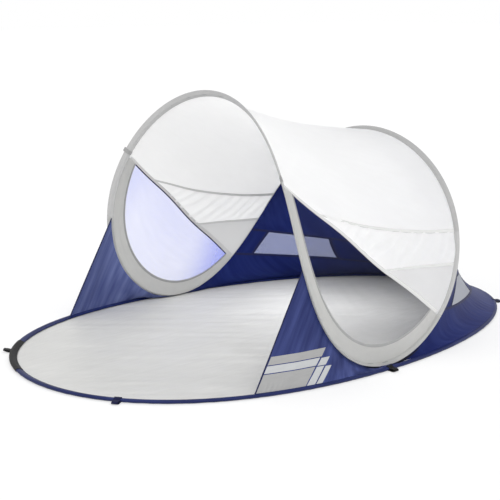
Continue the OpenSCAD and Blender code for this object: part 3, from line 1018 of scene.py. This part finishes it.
# ---- Canopy ----
@dataclass
class Canopy:
    """One continuous curved sheet between the arches, with its seams, gathers and edge tapes."""

    plan: Plan = PLAN
    thick: float = 1.0 * MM
    sag: float = 30 * MM
    sag_shape: float = 0.85
    high_start: float = 0.195
    high_angle: float = 48.9
    low_start: float = 0.62
    low_angle: float = 40.3
    seam_bow: float = 0.06
    pleat: float = 0.054
    pleat_rise: float = 4.4 * MM
    pleat_slant: float = 0.45
    seam_w: float = 7 * MM
    tape_w: float = 9 * MM
    # Length from arch to arch, and what a share of 1 across measures at the seams and at the side edge
    length: float = 0.75
    seam_span: float = 0.55
    edge_span: float = 0.5

    def seam_at(self, along: Any, start: float, angle: float) -> Array:
        """Place of a seam across the canopy.

        It runs from the canopy's side edge at start to its angle on the low arch, bowed in a little
        by a half sine.
        """
        end = (90 - angle) / (90 - self.plan.corner_right)
        k = ramp(along, start, 1.0)
        return lerp(1.0, end, k) - self.seam_bow * (1 - end) * sind(180 * k)

    def surface(self, across: Array, along: Array) -> Array:
        """The canopy's stretched surface.

        A straight line runs from the tall arch's seam to the low arch's at the same share of the way
        from the ridge to the corners, and drops by a half sine between them that is deepest a little
        towards the tall arch. Beside the side edges a slow wave is added.
        """
        left = self.plan.seam(90 + (90 - self.plan.corner_left) * across)
        right = self.plan.seam(270 - (90 - self.plan.corner_right) * across)
        drop = self.sag * sind(180 * np.clip(along, 0, 1) ** self.sag_shape) * cosd(90 * across)
        p = lerp(left, right, along[..., None])
        edge = smooth(np.abs(across), 0.8, 1.0) * sind(180 * along)
        wave = edge * (0.003 + 0.005 * sind(360 * (1.9 * along + 0.1)))
        return p - point(0.0, 0.0, drop + wave)

    def folds(self, across: Array, along: Array) -> Array:
        """Height of the pleats and soft pulls off the stretched surface.

        Between the two seams the pleats are eased sines whose lines slant from the upper seam down
        towards the open end; they rise from nothing at the seams. Over the rest lie faint creases
        that run between the arches, a few pulls that fan from each corner, and a crease in the
        corner panel.
        """
        u = np.abs(across)
        high = self.seam_at(along, self.high_start, self.high_angle)
        low = self.seam_at(along, self.low_start, self.low_angle)
        depth = np.clip((u - high) / np.maximum(low - high, 0.02), 0, 1)
        place = along * self.length + self.pleat_slant * (u - high) * 0.8
        wander = 0.55 * noise(place / 0.08, across * 5 + 9, 61)
        wave = np.sin(math.tau * (place / self.pleat + wander))
        pleats = self.pleat_rise * wave * sind(180 * depth**0.8) * smooth(along, 0.3, 0.5) * (u > high)
        pleats = pleats * (1 - 0.5 * smooth(along, 0.9, 1))
        quiet = sind(180 * along)
        pulls = 0.9 * MM * creases(along * self.length, across * 0.6, 6.0, 0.045, 0.35, 71) * quiet
        near_low = smooth(along, 0.9, 0.985) * (1 - smooth(along, 0.985, 1.0))
        ripple = np.sin(math.tau * (across * 0.62) / 0.034) * near_low
        puckers = 0.9 * MM * ripple * noise(across * 14, along * 6, 81) * (u < high)
        slack = 1.8 * MM * creases(along * self.length, u * 0.6, 60.0, 0.05, 0.2, 91) * (u > low) * quiet
        return pleats + pulls + puckers + slack

    def sheet(self) -> None:
        """Builds the sheet, which stands for the five packed panels, with its seams and tapes.

        The corner panels' inner face, which is the second half of the sheet's points, takes the pale tone as
        painted shade.
        """
        u, v = grid(140, 230)
        along, across = u, 2 * v - 1
        p = self.surface(across, along)
        p = raised(p, self.folds(across, along))
        nodes = ["canopy_top"] + [f"canopy_{part}_{s.word}" for part in ("gather", "corner") for s in Side]
        obj = settle(cloth("canopy", p, self.thick), WHITE_CANOPY, "white_canopy", *nodes)
        # The corner panels' inner face takes the painted shade
        low = self.seam_at(along, self.low_start, self.low_angle)
        corner = smooth(np.abs(across) - low, -0.004, 0.004) * (along > self.low_start)
        mark(obj, "pale", np.concatenate([np.zeros(corner.size), corner.ravel()]))
        trim = self.seams() + self.tapes()

    def seams(self) -> list[bpy.types.Object]:
        """Builds the four fell seams: narrow raised strips that follow the canopy on both faces."""
        made = []
        lines = (("high", self.high_start, self.high_angle), ("low", self.low_start, self.low_angle))
        for side in Side:
            for word, start, angle in lines:
                u, v = grid(80, 4)
                along = lerp(start + 0.01, 0.998, u)
                across = self.seam_at(along, start, angle) * side.value
                across = across + side.value * (v - 0.5) * self.seam_w / self.seam_span
                p = raised(self.surface(across, along), self.folds(across, along))
                strip = cloth(f"canopy_seam_{word}_{side.word}", p, self.thick + 1.6 * MM)
                made.append(settle(strip, TAPE_WHITE, "white_canopy"))
        return made

    def tapes(self) -> list[bpy.types.Object]:
        """Builds the tape along each side edge: a folded strip over the canopy's edge and the net's."""
        made = []
        for side in Side:
            u, v = grid(110, 4)
            along = lerp(0.012, 0.988, u)
            across = side.value * (1.0 - v * self.tape_w / self.edge_span)
            p = self.surface(across, along)
            p = raised(p, self.folds(across, along))
            name, node = f"edge_tape_{side.word}", f"canopy_tape_{side.word}"
            made.append(settle(cloth(name, p, self.thick + 2.2 * MM), TAPE_WHITE, "band_grey", node))
        return made

    def build(self) -> None:
        """Builds the sheet with its seams and its tapes."""
        self.sheet()


# ---- Side openings ----
@dataclass
class SideOpening:
    """The half moon under the canopy's edge on one side: a pale band, its binding and the net."""

    side: Side
    canopy: Canopy
    plan: Plan = PLAN
    band_w: float = 0.055
    binding_w: float = 0.007
    piping_w: float = 4.5 * MM
    lap: float = 2 * MM
    # Length of sleeve to one degree of the hoop, which turns hoop angles into metres for the creases
    degree: float = 0.009

    def frame_lines(self, t: Any) -> tuple[Array, Array, Array]:
        """Seam, direction and depth of the half moon at each hoop angle.

        The direction runs straight from the sleeve's seam to the canopy's edge at the same share of
        the way between the canopy's corners.
        """
        whole = self.plan.corner_left + self.plan.corner_right
        share = (np.asarray(t) - 180 + self.plan.corner_left) / whole
        seam = self.plan.seam(t)
        span = self.canopy.surface(np.ones_like(share), share) - seam
        return seam, unit(span), np.linalg.norm(span, axis=-1)

    def limits(self, depth: float) -> tuple[float, float]:
        """First and last hoop angle at which the half moon is deeper than this."""
        t = np.linspace(180 - self.plan.corner_left, 180 + self.plan.corner_right, 801)
        deep = t[self.frame_lines(t)[2] > depth]
        return float(deep[0]), float(deep[-1])

    def strip(
        self, near: float, far: float, least: float, rows: int, columns: int
    ) -> tuple[Array, Array, Array]:
        """A strip of the half moon between two depths from the seam, no deeper than the canopy's edge.

        Args:
            near: depth of the strip's side at the seam.
            far: depth of its other side.
            least: width at which the strip starts and ends.
            rows: number of cells along the hoop.
            columns: number of cells across.

        Returns:
            Points, hoop angle and depth on a grid.
        """
        start, end = self.limits(near + least)
        u, v = grid(rows, columns)
        t = lerp(start, end, u)
        seam, over, depth = self.frame_lines(t)
        d = lerp(near, np.minimum(far, depth), v)
        return seam + over * d[..., None], t, d

    def build(self) -> None:
        """Builds the band, the binding and the net, as on the back side and mirrored on the front.

        The net is denser towards the closed end's corner, away from the band and beside the tall
        arch's corner. Only the back net has piping.
        """
        word = self.side.word
        p, t, d = self.strip(-1 * MM, self.band_w, 6 * MM, 230, 14)
        across = creases(t * self.degree, d, 90.0, 0.018, 0.06, 101) * smooth(t, 165, 200)
        long = creases(t * self.degree, d, 0.0, 0.02, 0.2, 111)
        height = (1.3 * MM * across + 0.6 * MM * long) * sind(180 * d / self.band_w)
        band = on_side(raised(p, height), self.side)
        obj = settle(cloth(f"band_{word}", band, 1.2 * MM), BAND_GREY, "band_grey", f"side_band_{word}")
        p, _, _ = self.strip(self.band_w - self.lap, self.band_w + self.binding_w, 3 * MM, 200, 3)
        edge = on_side(p, self.side)
        binding = cloth(f"band_binding_{word}", edge, 1.8 * MM)
        settle(binding, TAPE_GREY, "binding", f"side_binding_{word}")
        p, t, d = self.strip(self.band_w + self.binding_w - self.lap, 2.0, 2 * MM, 150, 60)
        net = on_side(p, self.side)
        back = self.side is Side.BACK
        # The back net's lavender is painted backlight, the front net's dark thread painted shade
        finish = BACK_NET_PAINTED_BACKLIGHT if back else FRONT_NET_PAINTED_SHADE
        obj = settle(cloth(f"net_{word}", net, 0.5 * MM), finish, "mesh", f"side_mesh_{word}")
        dense = 0.95 * smooth(t, 176, 203) + 0.15 * smooth(d, 0.1, 0.3) + 0.25 * (1 - smooth(t, 130, 150))
        dense = dense if back else dense[:, ::-1]
        mark(obj, "dense", np.tile(dense.ravel(), 2))
        trim = [self.piping()] if back else []

    def piping(self) -> bpy.types.Object:
        """Builds the dark piping along the net's upper edge, under the canopy's tape."""
        start, end = self.limits(self.band_w + self.binding_w + 4 * MM)
        u, v = grid(120, 3)
        seam, over, depth = self.frame_lines(lerp(start, end, u))
        p = on_side(seam + over * (depth - lerp(self.piping_w, 0.0, v))[..., None], self.side)
        return settle(cloth(f"net_piping_{self.side.word}", p, 2.0 * MM), DARK_BINDING, "binding")


# ---- Wings of the open end ----
@dataclass
class Wing:
    """The navy wing on one side of the open end, from the hem up to the tall arch."""

    side: Side
    plan: Plan = PLAN
    top: float = 39.0
    corner_x: float = -0.526
    corner_skew: float = 0.013
    thick: float = 1.2 * MM
    fold: float = 2.4 * MM
    # Length along the hem and height of the wing, which turn its shares into metres for the creases
    long: float = 0.46
    tall: float = 0.25

    def surface(self, k: Array, up: Array) -> Array:
        """The wing's stretched surface, by straight lines from the hem up into the sleeve."""
        plan = self.plan
        corner = plan.floor_angle(self.corner_x + self.side.value * self.corner_skew)
        low = plan.hem_top(lerp(corner, plan.floor_angle(-plan.foot_x), k))
        return plan.wall(low, lerp(180 - self.top, 180.0, k), up)

    def skin(self, k: Array, up: Array, lift: float = 0.0) -> Array:
        """That surface with its folds: long creases up the wing that die out at the hem and the sleeve.

        Args:
            k: share of the way along the hem, from the free edge to the foot.
            up: share of the way up.
            lift: how far outside the wing's outer face.

        Returns:
            Points on the grid.
        """
        p = self.surface(k, up)
        reach, high = self.long * k, up * self.tall
        folds = creases(high, reach, 4.0, 0.05, 0.5, 121) + 0.35 * creases(high, reach, -6.0, 0.02, 0.2, 131)
        loose = sind(180 * np.clip(up, 0, 1) ** 0.9) * (1 - 0.85 * k)
        gather = 0.9 * MM * np.sin(math.tau * reach / 0.017) * noise(reach / 0.04, up * 6, 141)
        gather = gather * (1 - smooth(up, 0.0, 0.16))
        return raised(p, -(self.fold * folds * loose + gather * smooth(up, 0.0, 0.02) + lift))

    def build(self) -> None:
        """Builds the wing and the binding of its free edge."""
        word = self.side.word
        u, v = grid(130, 110)
        wing = on_side(self.skin(u, v), self.side)
        trim = [self.binding()]
        if self.side is Side.FRONT:
            trim += self.prints()
        # The front wing takes the navy copy with painted highlights, and the back wing, seen from inside, the
        # copy with painted light
        finish = NAVY_PAINTED_HIGHLIGHTS if self.side is Side.FRONT else NAVY_PAINTED_LIGHT
        obj = settle(cloth(f"wing_{word}", wing, self.thick), finish, "navy_fabric", f"left_wing_{word}")

    def binding(self) -> bpy.types.Object:
        """Builds the binding: a narrow folded strip over the free edge."""
        u, v = grid(3, 110)
        p = on_side(self.skin(lerp(0.0, 0.009, u), v), self.side)
        strip = cloth(f"wing_binding_{self.side.word}", p, self.thick + 1.8 * MM)
        return settle(strip, DARK_BINDING, "navy_fabric")

    def stripe(
        self,
        name: str,
        ink: Cloth,
        low: float,
        high: float,
        left: tuple[float, float],
        right: tuple[float, float],
    ) -> bpy.types.Object:
        """Builds one printed stripe: a slanted patch a hair above the cloth.

        Args:
            name: name of the piece.
            ink: its finish.
            low: height of its lower edge above the hem, up the cloth, in metres.
            high: height of its upper edge.
            left: distance along the hem from the free edge to its left side, at its foot and head.
            right: the same for its right side.

        Returns:
            The patch.
        """
        cell = 0.004
        u, v = grid(max(int((right[0] - left[0]) / cell), 4), max(int((high - low) / cell), 4))
        k = lerp(lerp(left[0], left[1], v), lerp(right[0], right[1], v), u) / self.hem_length()
        rise = self.surface(k, np.ones_like(k)) - self.surface(k, np.zeros_like(k))
        tall = np.linalg.norm(rise, axis=-1)
        p = on_side(self.skin(k, lerp(low, high, v) / tall, self.thick / 2 + 0.3 * MM), self.side)
        return settle(cloth(name, p, 0.3 * MM), ink, "navy_fabric")

    def hem_length(self) -> float:
        """Length of the hem along the wing."""
        k = np.linspace(0.0, 1.0, 60)
        return float(np.linalg.norm(np.diff(self.surface(k, np.zeros_like(k)), axis=0), axis=1).sum())

    def prints(self) -> list[bpy.types.Object]:
        """Builds the plain printed stripes at the wing's foot, from the free edge on."""
        return [
            self.stripe("print_bar_high", INK_GREY, 0.089, 0.116, (0.007, 0.008), (0.208, 0.217)),
            self.stripe("print_bar_low", INK_PALE, 0.062, 0.086, (0.006, 0.007), (0.194, 0.203)),
            self.stripe("print_bar_end", INK_PALE, 0.060, 0.084, (0.200, 0.209), (0.233, 0.244)),
            self.stripe("print_block", INK_GREY, 0.001, 0.059, (0.004, 0.006), (0.175, 0.193)),
            self.stripe("print_slant_inner", INK_PALE, 0.001, 0.057, (0.179, 0.199), (0.208, 0.228)),
            self.stripe("print_slant_outer", INK_PALE, 0.001, 0.055, (0.213, 0.234), (0.235, 0.258)),
        ]


# ---- Closed end ----
@dataclass
class ClosedEnd:
    """The navy end wall, from the hem to the low arch, with a net window on each side."""

    plan: Plan = PLAN
    thick: float = 1.2 * MM
    pull_x: float = 0.103
    pull_z: float = 0.041
    pull_shape: float = 0.8
    low_from: float = 0.374
    low_to: float = 0.635
    high_from: float = 0.471
    high_to: float = 0.674
    sill_from: float = 0.127
    sill_to: float = 0.095
    lintel_from: float = 0.220
    lintel_to: float = 0.192
    seam_w: float = 9 * MM

    def surface(self, k: Array, up: Array) -> Array:
        """The wall's stretched surface.

        Straight lines run from the hem up to the low arch's seam, and the middle is pulled in and
        down by a half sine up the wall times a quarter sine towards the tip.
        """
        plan = self.plan
        low = plan.hem_top(plan.floor_angle(-plan.foot_x) * (1 - k))
        p = plan.wall(low, 180 + 90 * k, up)
        pull = sind(180 * np.clip(up, 0, 1) ** self.pull_shape) * sind(90 * k)
        return p - pull[..., None] * np.array([self.pull_x, 0.0, self.pull_z])

    def skin(self, k: Array, up: Array) -> Array:
        """That surface with its folds, moved along the wall's own normal.

        Soft vertical creases run down the wall, and short gathers stand along the hem. A share of 1
        along the end is close to a metre, so k serves as the length along it.
        """
        step = 1e-3
        p = self.surface(k, up)
        high = p[..., 2]
        ahead = self.surface(k + step, up) - self.surface(k - step, up)
        n = unit(np.cross(ahead, self.surface(k, up + step) - self.surface(k, up - step)))
        folds = 2.2 * MM * creases(high, k, 8.0, 0.06, 0.3, 151) * sind(180 * up)
        fine = 0.8 * MM * creases(high, k, -10.0, 0.022, 0.12, 161) * sind(180 * up)
        gather = 0.7 * MM * np.sin(math.tau * k / 0.027) * noise(k / 0.05, high * 20, 171)
        gather = gather * smooth(high, 0.018, 0.03) * (1 - smooth(high, 0.03, 0.09))
        return p + n * (folds + fine + gather)[..., None]

    def up_at(self, k: Array, height: Array) -> Array:
        """Share of the way up at which the wall reaches a height, found by halving."""
        low, high = np.zeros_like(k), np.ones_like(k)
        for _ in range(26):
            mid = (low + high) / 2
            under = self.surface(k, mid)[..., 2] < height
            low, high = np.where(under, mid, low), np.where(under, high, mid)
        return (low + high) / 2

    def sill(self, k: Array) -> Array:
        """Height of the windows' lower edge."""
        return lerp(self.sill_from, self.sill_to, (k - self.low_from) / (self.low_to - self.low_from))

    def lintel(self, k: Array) -> Array:
        """Height of the windows' upper edge."""
        share = (k - self.high_from) / (self.high_to - self.high_from)
        return lerp(self.lintel_from, self.lintel_to, share)

    def arch_at(self, height: float) -> float:
        """Share of the way along the end at which the low arch's seam reaches a height."""
        k = np.linspace(0.02, 0.9, 2001)
        return float(np.interp(height, self.surface(k, np.ones_like(k))[:, 2], k))

    def in_band(self, k: Array, q: Array) -> Array:
        """Points between the sill, at q = 0, and the lintel, at q = 1."""
        return self.skin(k, self.up_at(k, lerp(self.sill(k), self.lintel(k), q)))

    def patch(self, low: tuple[float, float], high: tuple[float, float], rows: int, columns: int) -> Array:
        """Grid of the band between two slanting sides, each given by its foot and head along the end."""
        u, v = grid(rows, columns)
        return self.in_band(lerp(lerp(low[0], high[0], v), lerp(low[1], high[1], v), u), v)

    def panel(
        self, name: str, p: Array, node: str, rests_on: Sequence[str], trim: Sequence[bpy.types.Object] = ()
    ) -> None:
        # Every piece of the end wall takes the navy copy whose dark tone is painted shade
        obj = settle(cloth(name, p, self.thick), NAVY_PAINTED_SHADE, "navy_fabric", node)

    def build(self) -> None:
        """Builds the two halves of the wall, the piece across the tip and the seams."""
        sill_k, lintel_k = self.meet(self.sill, 0.165), self.meet(self.lintel, 0.25)
        for side in Side:
            word = side.word
            u, v = grid(190, 26)
            skirt = on_side(self.skin(u, v * self.up_at(u, self.sill(u))), side)
            sill, lintel = self.seams(side, sill_k, lintel_k)
            self.panel(f"skirt_{word}", skirt, f"end_skirt_{word}", [f"hem_{word}_right"], [sill])
            u, v = grid(150, 100)
            k = lerp(lintel_k + 0.002, 1.0, u)
            top = on_side(self.skin(k, lerp(self.up_at(k, self.lintel(k)), 1.0, v)), side)
            self.panel(f"end_{word}", top, f"end_top_{word}", ["sleeve_low_arch"], [lintel])
            stile = on_side(self.patch((sill_k, self.low_from), (lintel_k, self.high_from), 40, 22), side)
            self.panel(f"stile_{word}", stile, f"end_stile_{word}", [f"skirt_{word}", f"end_{word}"])
            self.window(side)
        u, v = grid(40, 22)
        half = self.in_band(lerp(lerp(self.low_to, self.high_to, v), 1.0, u), v)
        whole = np.concatenate([half, (half * (1.0, -1.0, 1.0))[-2::-1]])
        self.panel("end_middle", whole, "end_centre_stile", ["skirt_back", "skirt_front"])

    def meet(self, line: Callable[[Array], Array], start: float) -> float:
        """Share of the way along the end at which a line of heights meets the low arch's seam.

        Args:
            line: height at each share of the way along.
            start: height at which the search starts.

        Returns:
            The share, found by following the line and the seam in turn.
        """
        k = self.arch_at(start)
        for _ in range(30):
            k = self.arch_at(float(line(np.array(k))))
        return k

    def window(self, side: Side) -> None:
        """Builds one window's net and the narrow binding on its two slanting sides."""
        word = side.word
        p = on_side(self.patch((self.low_from, self.low_to), (self.high_from, self.high_to), 60, 24), side)
        # The back window's slate blue is painted backlight; the front window's pale grey is painted light for
        # the lit groundsheet behind it
        finish = WINDOW_NET_PAINTED_BACKLIGHT if side is Side.BACK else END_NET_PAINTED_LIGHT
        obj = settle(cloth(f"window_{word}", p, 0.5 * MM), finish, "mesh", f"end_window_{word}")
        for end, low, high in (("arch", self.low_from, self.high_from), ("tip", self.low_to, self.high_to)):
            strip = on_side(self.patch((low - 0.004, low + 0.005), (high - 0.004, high + 0.005), 3, 24), side)
            name = f"window_binding_{end}_{word}"
            settle(cloth(name, strip, self.thick + 1.4 * MM), DARK_BINDING, "navy_fabric")

    def seams(self, side: Side, sill_k: float, lintel_k: float) -> list[bpy.types.Object]:
        """Builds the seam strips along the sill and the lintel, out to the low arch."""
        made = []
        for name, line, start in (("sill", self.sill, sill_k), ("lintel", self.lintel, lintel_k)):
            u, v = grid(130, 3)
            k = lerp(start + 0.004, 1.0, u)
            up = self.up_at(k, line(k) + (v - 0.5) * self.seam_w)
            p = on_side(self.skin(k, up), side)
            strip = cloth(f"{name}_seam_{side.word}", p, self.thick + 1.4 * MM)
            made.append(settle(strip, DARK_BINDING, "navy_fabric"))
        return made


# ---- Peg loops ----
@dataclass
class PegLoop:
    """A loop of webbing sewn over the hem, for a peg.

    Squash and stretch press the eye flat and draw it out, and tilt is how much it rises outwards.
    """

    name: str
    angle: float
    hem: str
    finish: Webbing = BLACK_WEB
    plan: Plan = PLAN
    eye: float = 7.5 * MM
    squash: float = 0.45
    stretch: float = 1.3
    tilt: float = 0.0
    web_w: float = 22 * MM
    web_t: float = 1.8 * MM
    clear: float = 3.5 * MM

    def build(self) -> None:
        """Builds the loop as one band of webbing.

        In the plane across the hem the band's middle line starts inside the hem, lies over its top,
        goes once round the eye and ends against the hem's foot. The eye is a circle pressed flat.
        The band's width lies along the hem.
        """
        r = self.eye + self.web_t / 2
        out = self.plan.edge_out(self.angle)
        along = out[::-1] * (-1.0, 1.0)
        centre = self.plan.edge(self.angle) + out * (self.eye + self.clear)
        g = np.linspace(120.0, -120.0, 49)
        ring = np.stack([self.stretch * r * cosd(g), self.squash * r * sind(g)], -1)
        base = self.squash * r + 0.4 * MM
        top = self.plan.sleeve_r + self.plan.hem_rise + 0.6 * MM - base
        over = np.array([[-25.0, -4.0], [-21.0, 0.0], [-15.0, -1.5], [-10.5, -5.0]]) * MM + (0.0, top)
        step = np.linspace(0, 1, 6)[:-1, None]
        lead = np.concatenate([lerp(a, b, step) for a, b in zip(over, [*over[1:], ring[0]])])
        tail = lerp(ring[-1], np.array([-r - 6.5 * MM, -self.squash * r]), np.linspace(0, 1, 9)[1:, None])
        line = np.concatenate([lead, ring, tail])
        line[:, 1] = line[:, 1] + base + self.tilt * np.maximum(line[:, 0] + r, 0.0)
        v = np.linspace(-0.5, 0.5, 9)
        w = self.web_w * (1 - 0.12 * smooth(line[:, 0], 0.0, r))[:, None] * v[None, :]
        x = centre[0] + out[0] * line[:, None, 0] + along[0] * w
        y = centre[1] + out[1] * line[:, None, 0] + along[1] * w
        p = point(x, y, np.broadcast_to(line[:, None, 1], w.shape) + self.web_t / 2)
        obj = cloth(f"loop_{self.name}", p, self.web_t)
        settle(obj, self.finish, "webbing", f"peg_loop_{self.name}")


# ---- Studio ----
@dataclass
class Studio:
    """The floor, the lights and the camera. None of it is part of the shelter."""

    azimuth: float = -39.72
    elevation: float = 10.54
    distance: float = 4.207
    target_z: float = 0.4105
    lens: float = 86.3
    shift: tuple[float, float] = (-0.0505, -0.0729)
    sun: float = 1.45
    sun_angle: float = 45.0
    sun_way: tuple[float, float, float] = (0.36, 0.56, -0.62)
    fill: float = 0.83
    inside: float = 1.9
    inside_at: tuple[float, float, float] = (0.32, 0.08, 0.44)
    inside_size: tuple[float, float] = (0.32, 0.5)
    inside_spread: float = 140.0
    floor_white: float = 0.4
    floor_reach: float = 30.0
    floor_drop: float = 0.5 * MM

    def seen_directly(self, tree: bpy.types.NodeTree) -> bpy.types.NodeSocket:
        """One where the camera looks straight at a surface, or at its image in gloss or glass."""
        rays = add_node(tree, "ShaderNodeLightPath").outputs
        seen = rays["Is Camera Ray"]
        for kind in ("Is Glossy Ray", "Is Transmission Ray"):
            seen = add_node(tree, "ShaderNodeMath", {0: seen, 1: rays[kind]}, operation="MAXIMUM").outputs[0]
        return seen

    def floor(self) -> None:
        """Lays a wide pale floor that keeps part of the shelter's shadow and is white elsewhere."""
        reach, low = self.floor_reach, -self.floor_drop
        signs = np.array([[-1.0, -1.0], [1.0, -1.0], [1.0, 1.0], [-1.0, 1.0]])
        corners = point(signs[:, 0] * reach, signs[:, 1] * reach, low)
        floor = new_piece("studio_floor", corners, np.array([[0, 1, 2, 3]]), corners[:, :2])
        material, tree = new_material("studio_floor_paint")
        seen = self.seen_directly(tree)
        share = add_node(tree, "ShaderNodeMath", {0: seen, 1: self.floor_white}, operation="MULTIPLY")
        paint = add_node(tree, "ShaderNodeBsdfDiffuse", {"Color": linear("f6f6f6")})
        glow = add_node(tree, "ShaderNodeEmission", {"Color": linear("ffffff"), "Strength": 1.0})
        mixed = {0: share.outputs[0], 1: paint.outputs[0], 2: glow.outputs[0]}
        shown = add_node(tree, "ShaderNodeMixShader", mixed)
        add_node(tree, "ShaderNodeOutputMaterial", {"Surface": shown.outputs[0]})
        floor.data.materials.append(material)

    def world(self) -> None:
        """Sets a soft white sky that lights at the fill level and is seen as plain white."""
        world = bpy.data.worlds.new("studio_sky")
        bpy.context.scene.world = world
        world.use_nodes = True
        tree = world.node_tree
        tree.nodes.clear()
        seen = self.seen_directly(tree)
        level = add_node(tree, "ShaderNodeMapRange", {"Value": seen, "To Min": self.fill, "To Max": 1.0})
        sky = {"Color": linear("ffffff"), "Strength": level.outputs[0]}
        back = add_node(tree, "ShaderNodeBackground", sky)
        add_node(tree, "ShaderNodeOutputWorld", {"Surface": back.outputs[0]})

    def lamps(self) -> None:
        """Hangs one wide soft key light above the open end, in front, and a soft panel under the canopy.

        The panel isn't seen itself: it lights the groundsheet inside the shelter, and lies wholly
        inside it, so that none of its light falls on the closed end's outer face.
        """
        lamp = bpy.data.lights.new("key", "SUN")
        lamp.energy, lamp.angle = self.sun, math.radians(self.sun_angle)
        key = bpy.data.objects.new("key", lamp)
        key.rotation_mode = "QUATERNION"
        key.rotation_quaternion = Vector(self.sun_way).to_track_quat("-Z", "Y")
        bpy.context.scene.collection.objects.link(key)
        lamp = bpy.data.lights.new("inside", "AREA")
        lamp.shape, (lamp.size, lamp.size_y) = "RECTANGLE", self.inside_size
        lamp.energy, lamp.spread = self.inside, math.radians(self.inside_spread)
        panel = bpy.data.objects.new("inside", lamp)
        panel.location = self.inside_at
        panel.visible_camera = False
        bpy.context.scene.collection.objects.link(panel)

    def camera(self) -> None:
        """Stands the camera in front of the open end's left, a little above the shelter."""
        a, e = math.radians(self.azimuth), math.radians(self.elevation)
        back = Vector((math.sin(a) * math.cos(e), -math.cos(a) * math.cos(e), math.sin(e)))
        data = bpy.data.cameras.new("view")
        data.sensor_width, data.lens = 36.0, self.lens
        data.shift_x, data.shift_y = self.shift
        data.clip_start, data.clip_end = 0.05, 100.0
        camera = bpy.data.objects.new("view", data)
        camera.rotation_mode = "QUATERNION"
        camera.location = Vector((0.0, 0.0, self.target_z)) + back * self.distance
        camera.rotation_quaternion = (-back).to_track_quat("-Z", "Y")
        bpy.context.scene.collection.objects.link(camera)
        bpy.context.scene.camera = camera

    def build(self) -> None:
        """Builds the whole studio and sets the plain view transform."""
        bpy.context.scene.view_settings.view_transform = "Standard"
        self.camera()
        self.floor()
        self.world()
        self.lamps()


def main() -> None:
    """Builds the studio and every sub-assembly in order."""
    logging.basicConfig(level=logging.INFO, format="%(name)s: %(message)s")
    Studio().build()
    Groundsheet().build()
    SpringHoop().build()
    canopy = Canopy()
    canopy.build()
    for side in Side:
        SideOpening(side, canopy).build()
        Wing(side).build()
    ClosedEnd().build()
    foot = PLAN.floor_angle(-PLAN.foot_x) - 1.0
    PegLoop("back_left", 153.0, "hem_back_left", squash=0.3, stretch=1.8, tilt=0.25).build()
    for name, angle, hem, finish in (
        ("front_left", -153.0, "hem_front_left", NAVY_WEB),
        ("front_foot", -foot, "hem_front_left", BLACK_WEB),
        ("back_foot", foot, "hem_back_left", BLACK_WEB),
        ("front_right", -27.0, "hem_front_right", NAVY_WEB),
        ("back_right", 27.0, "hem_back_right", NAVY_WEB),
    ):
        PegLoop(name, angle, hem, finish).build()


if __name__ == "__main__":
    main()
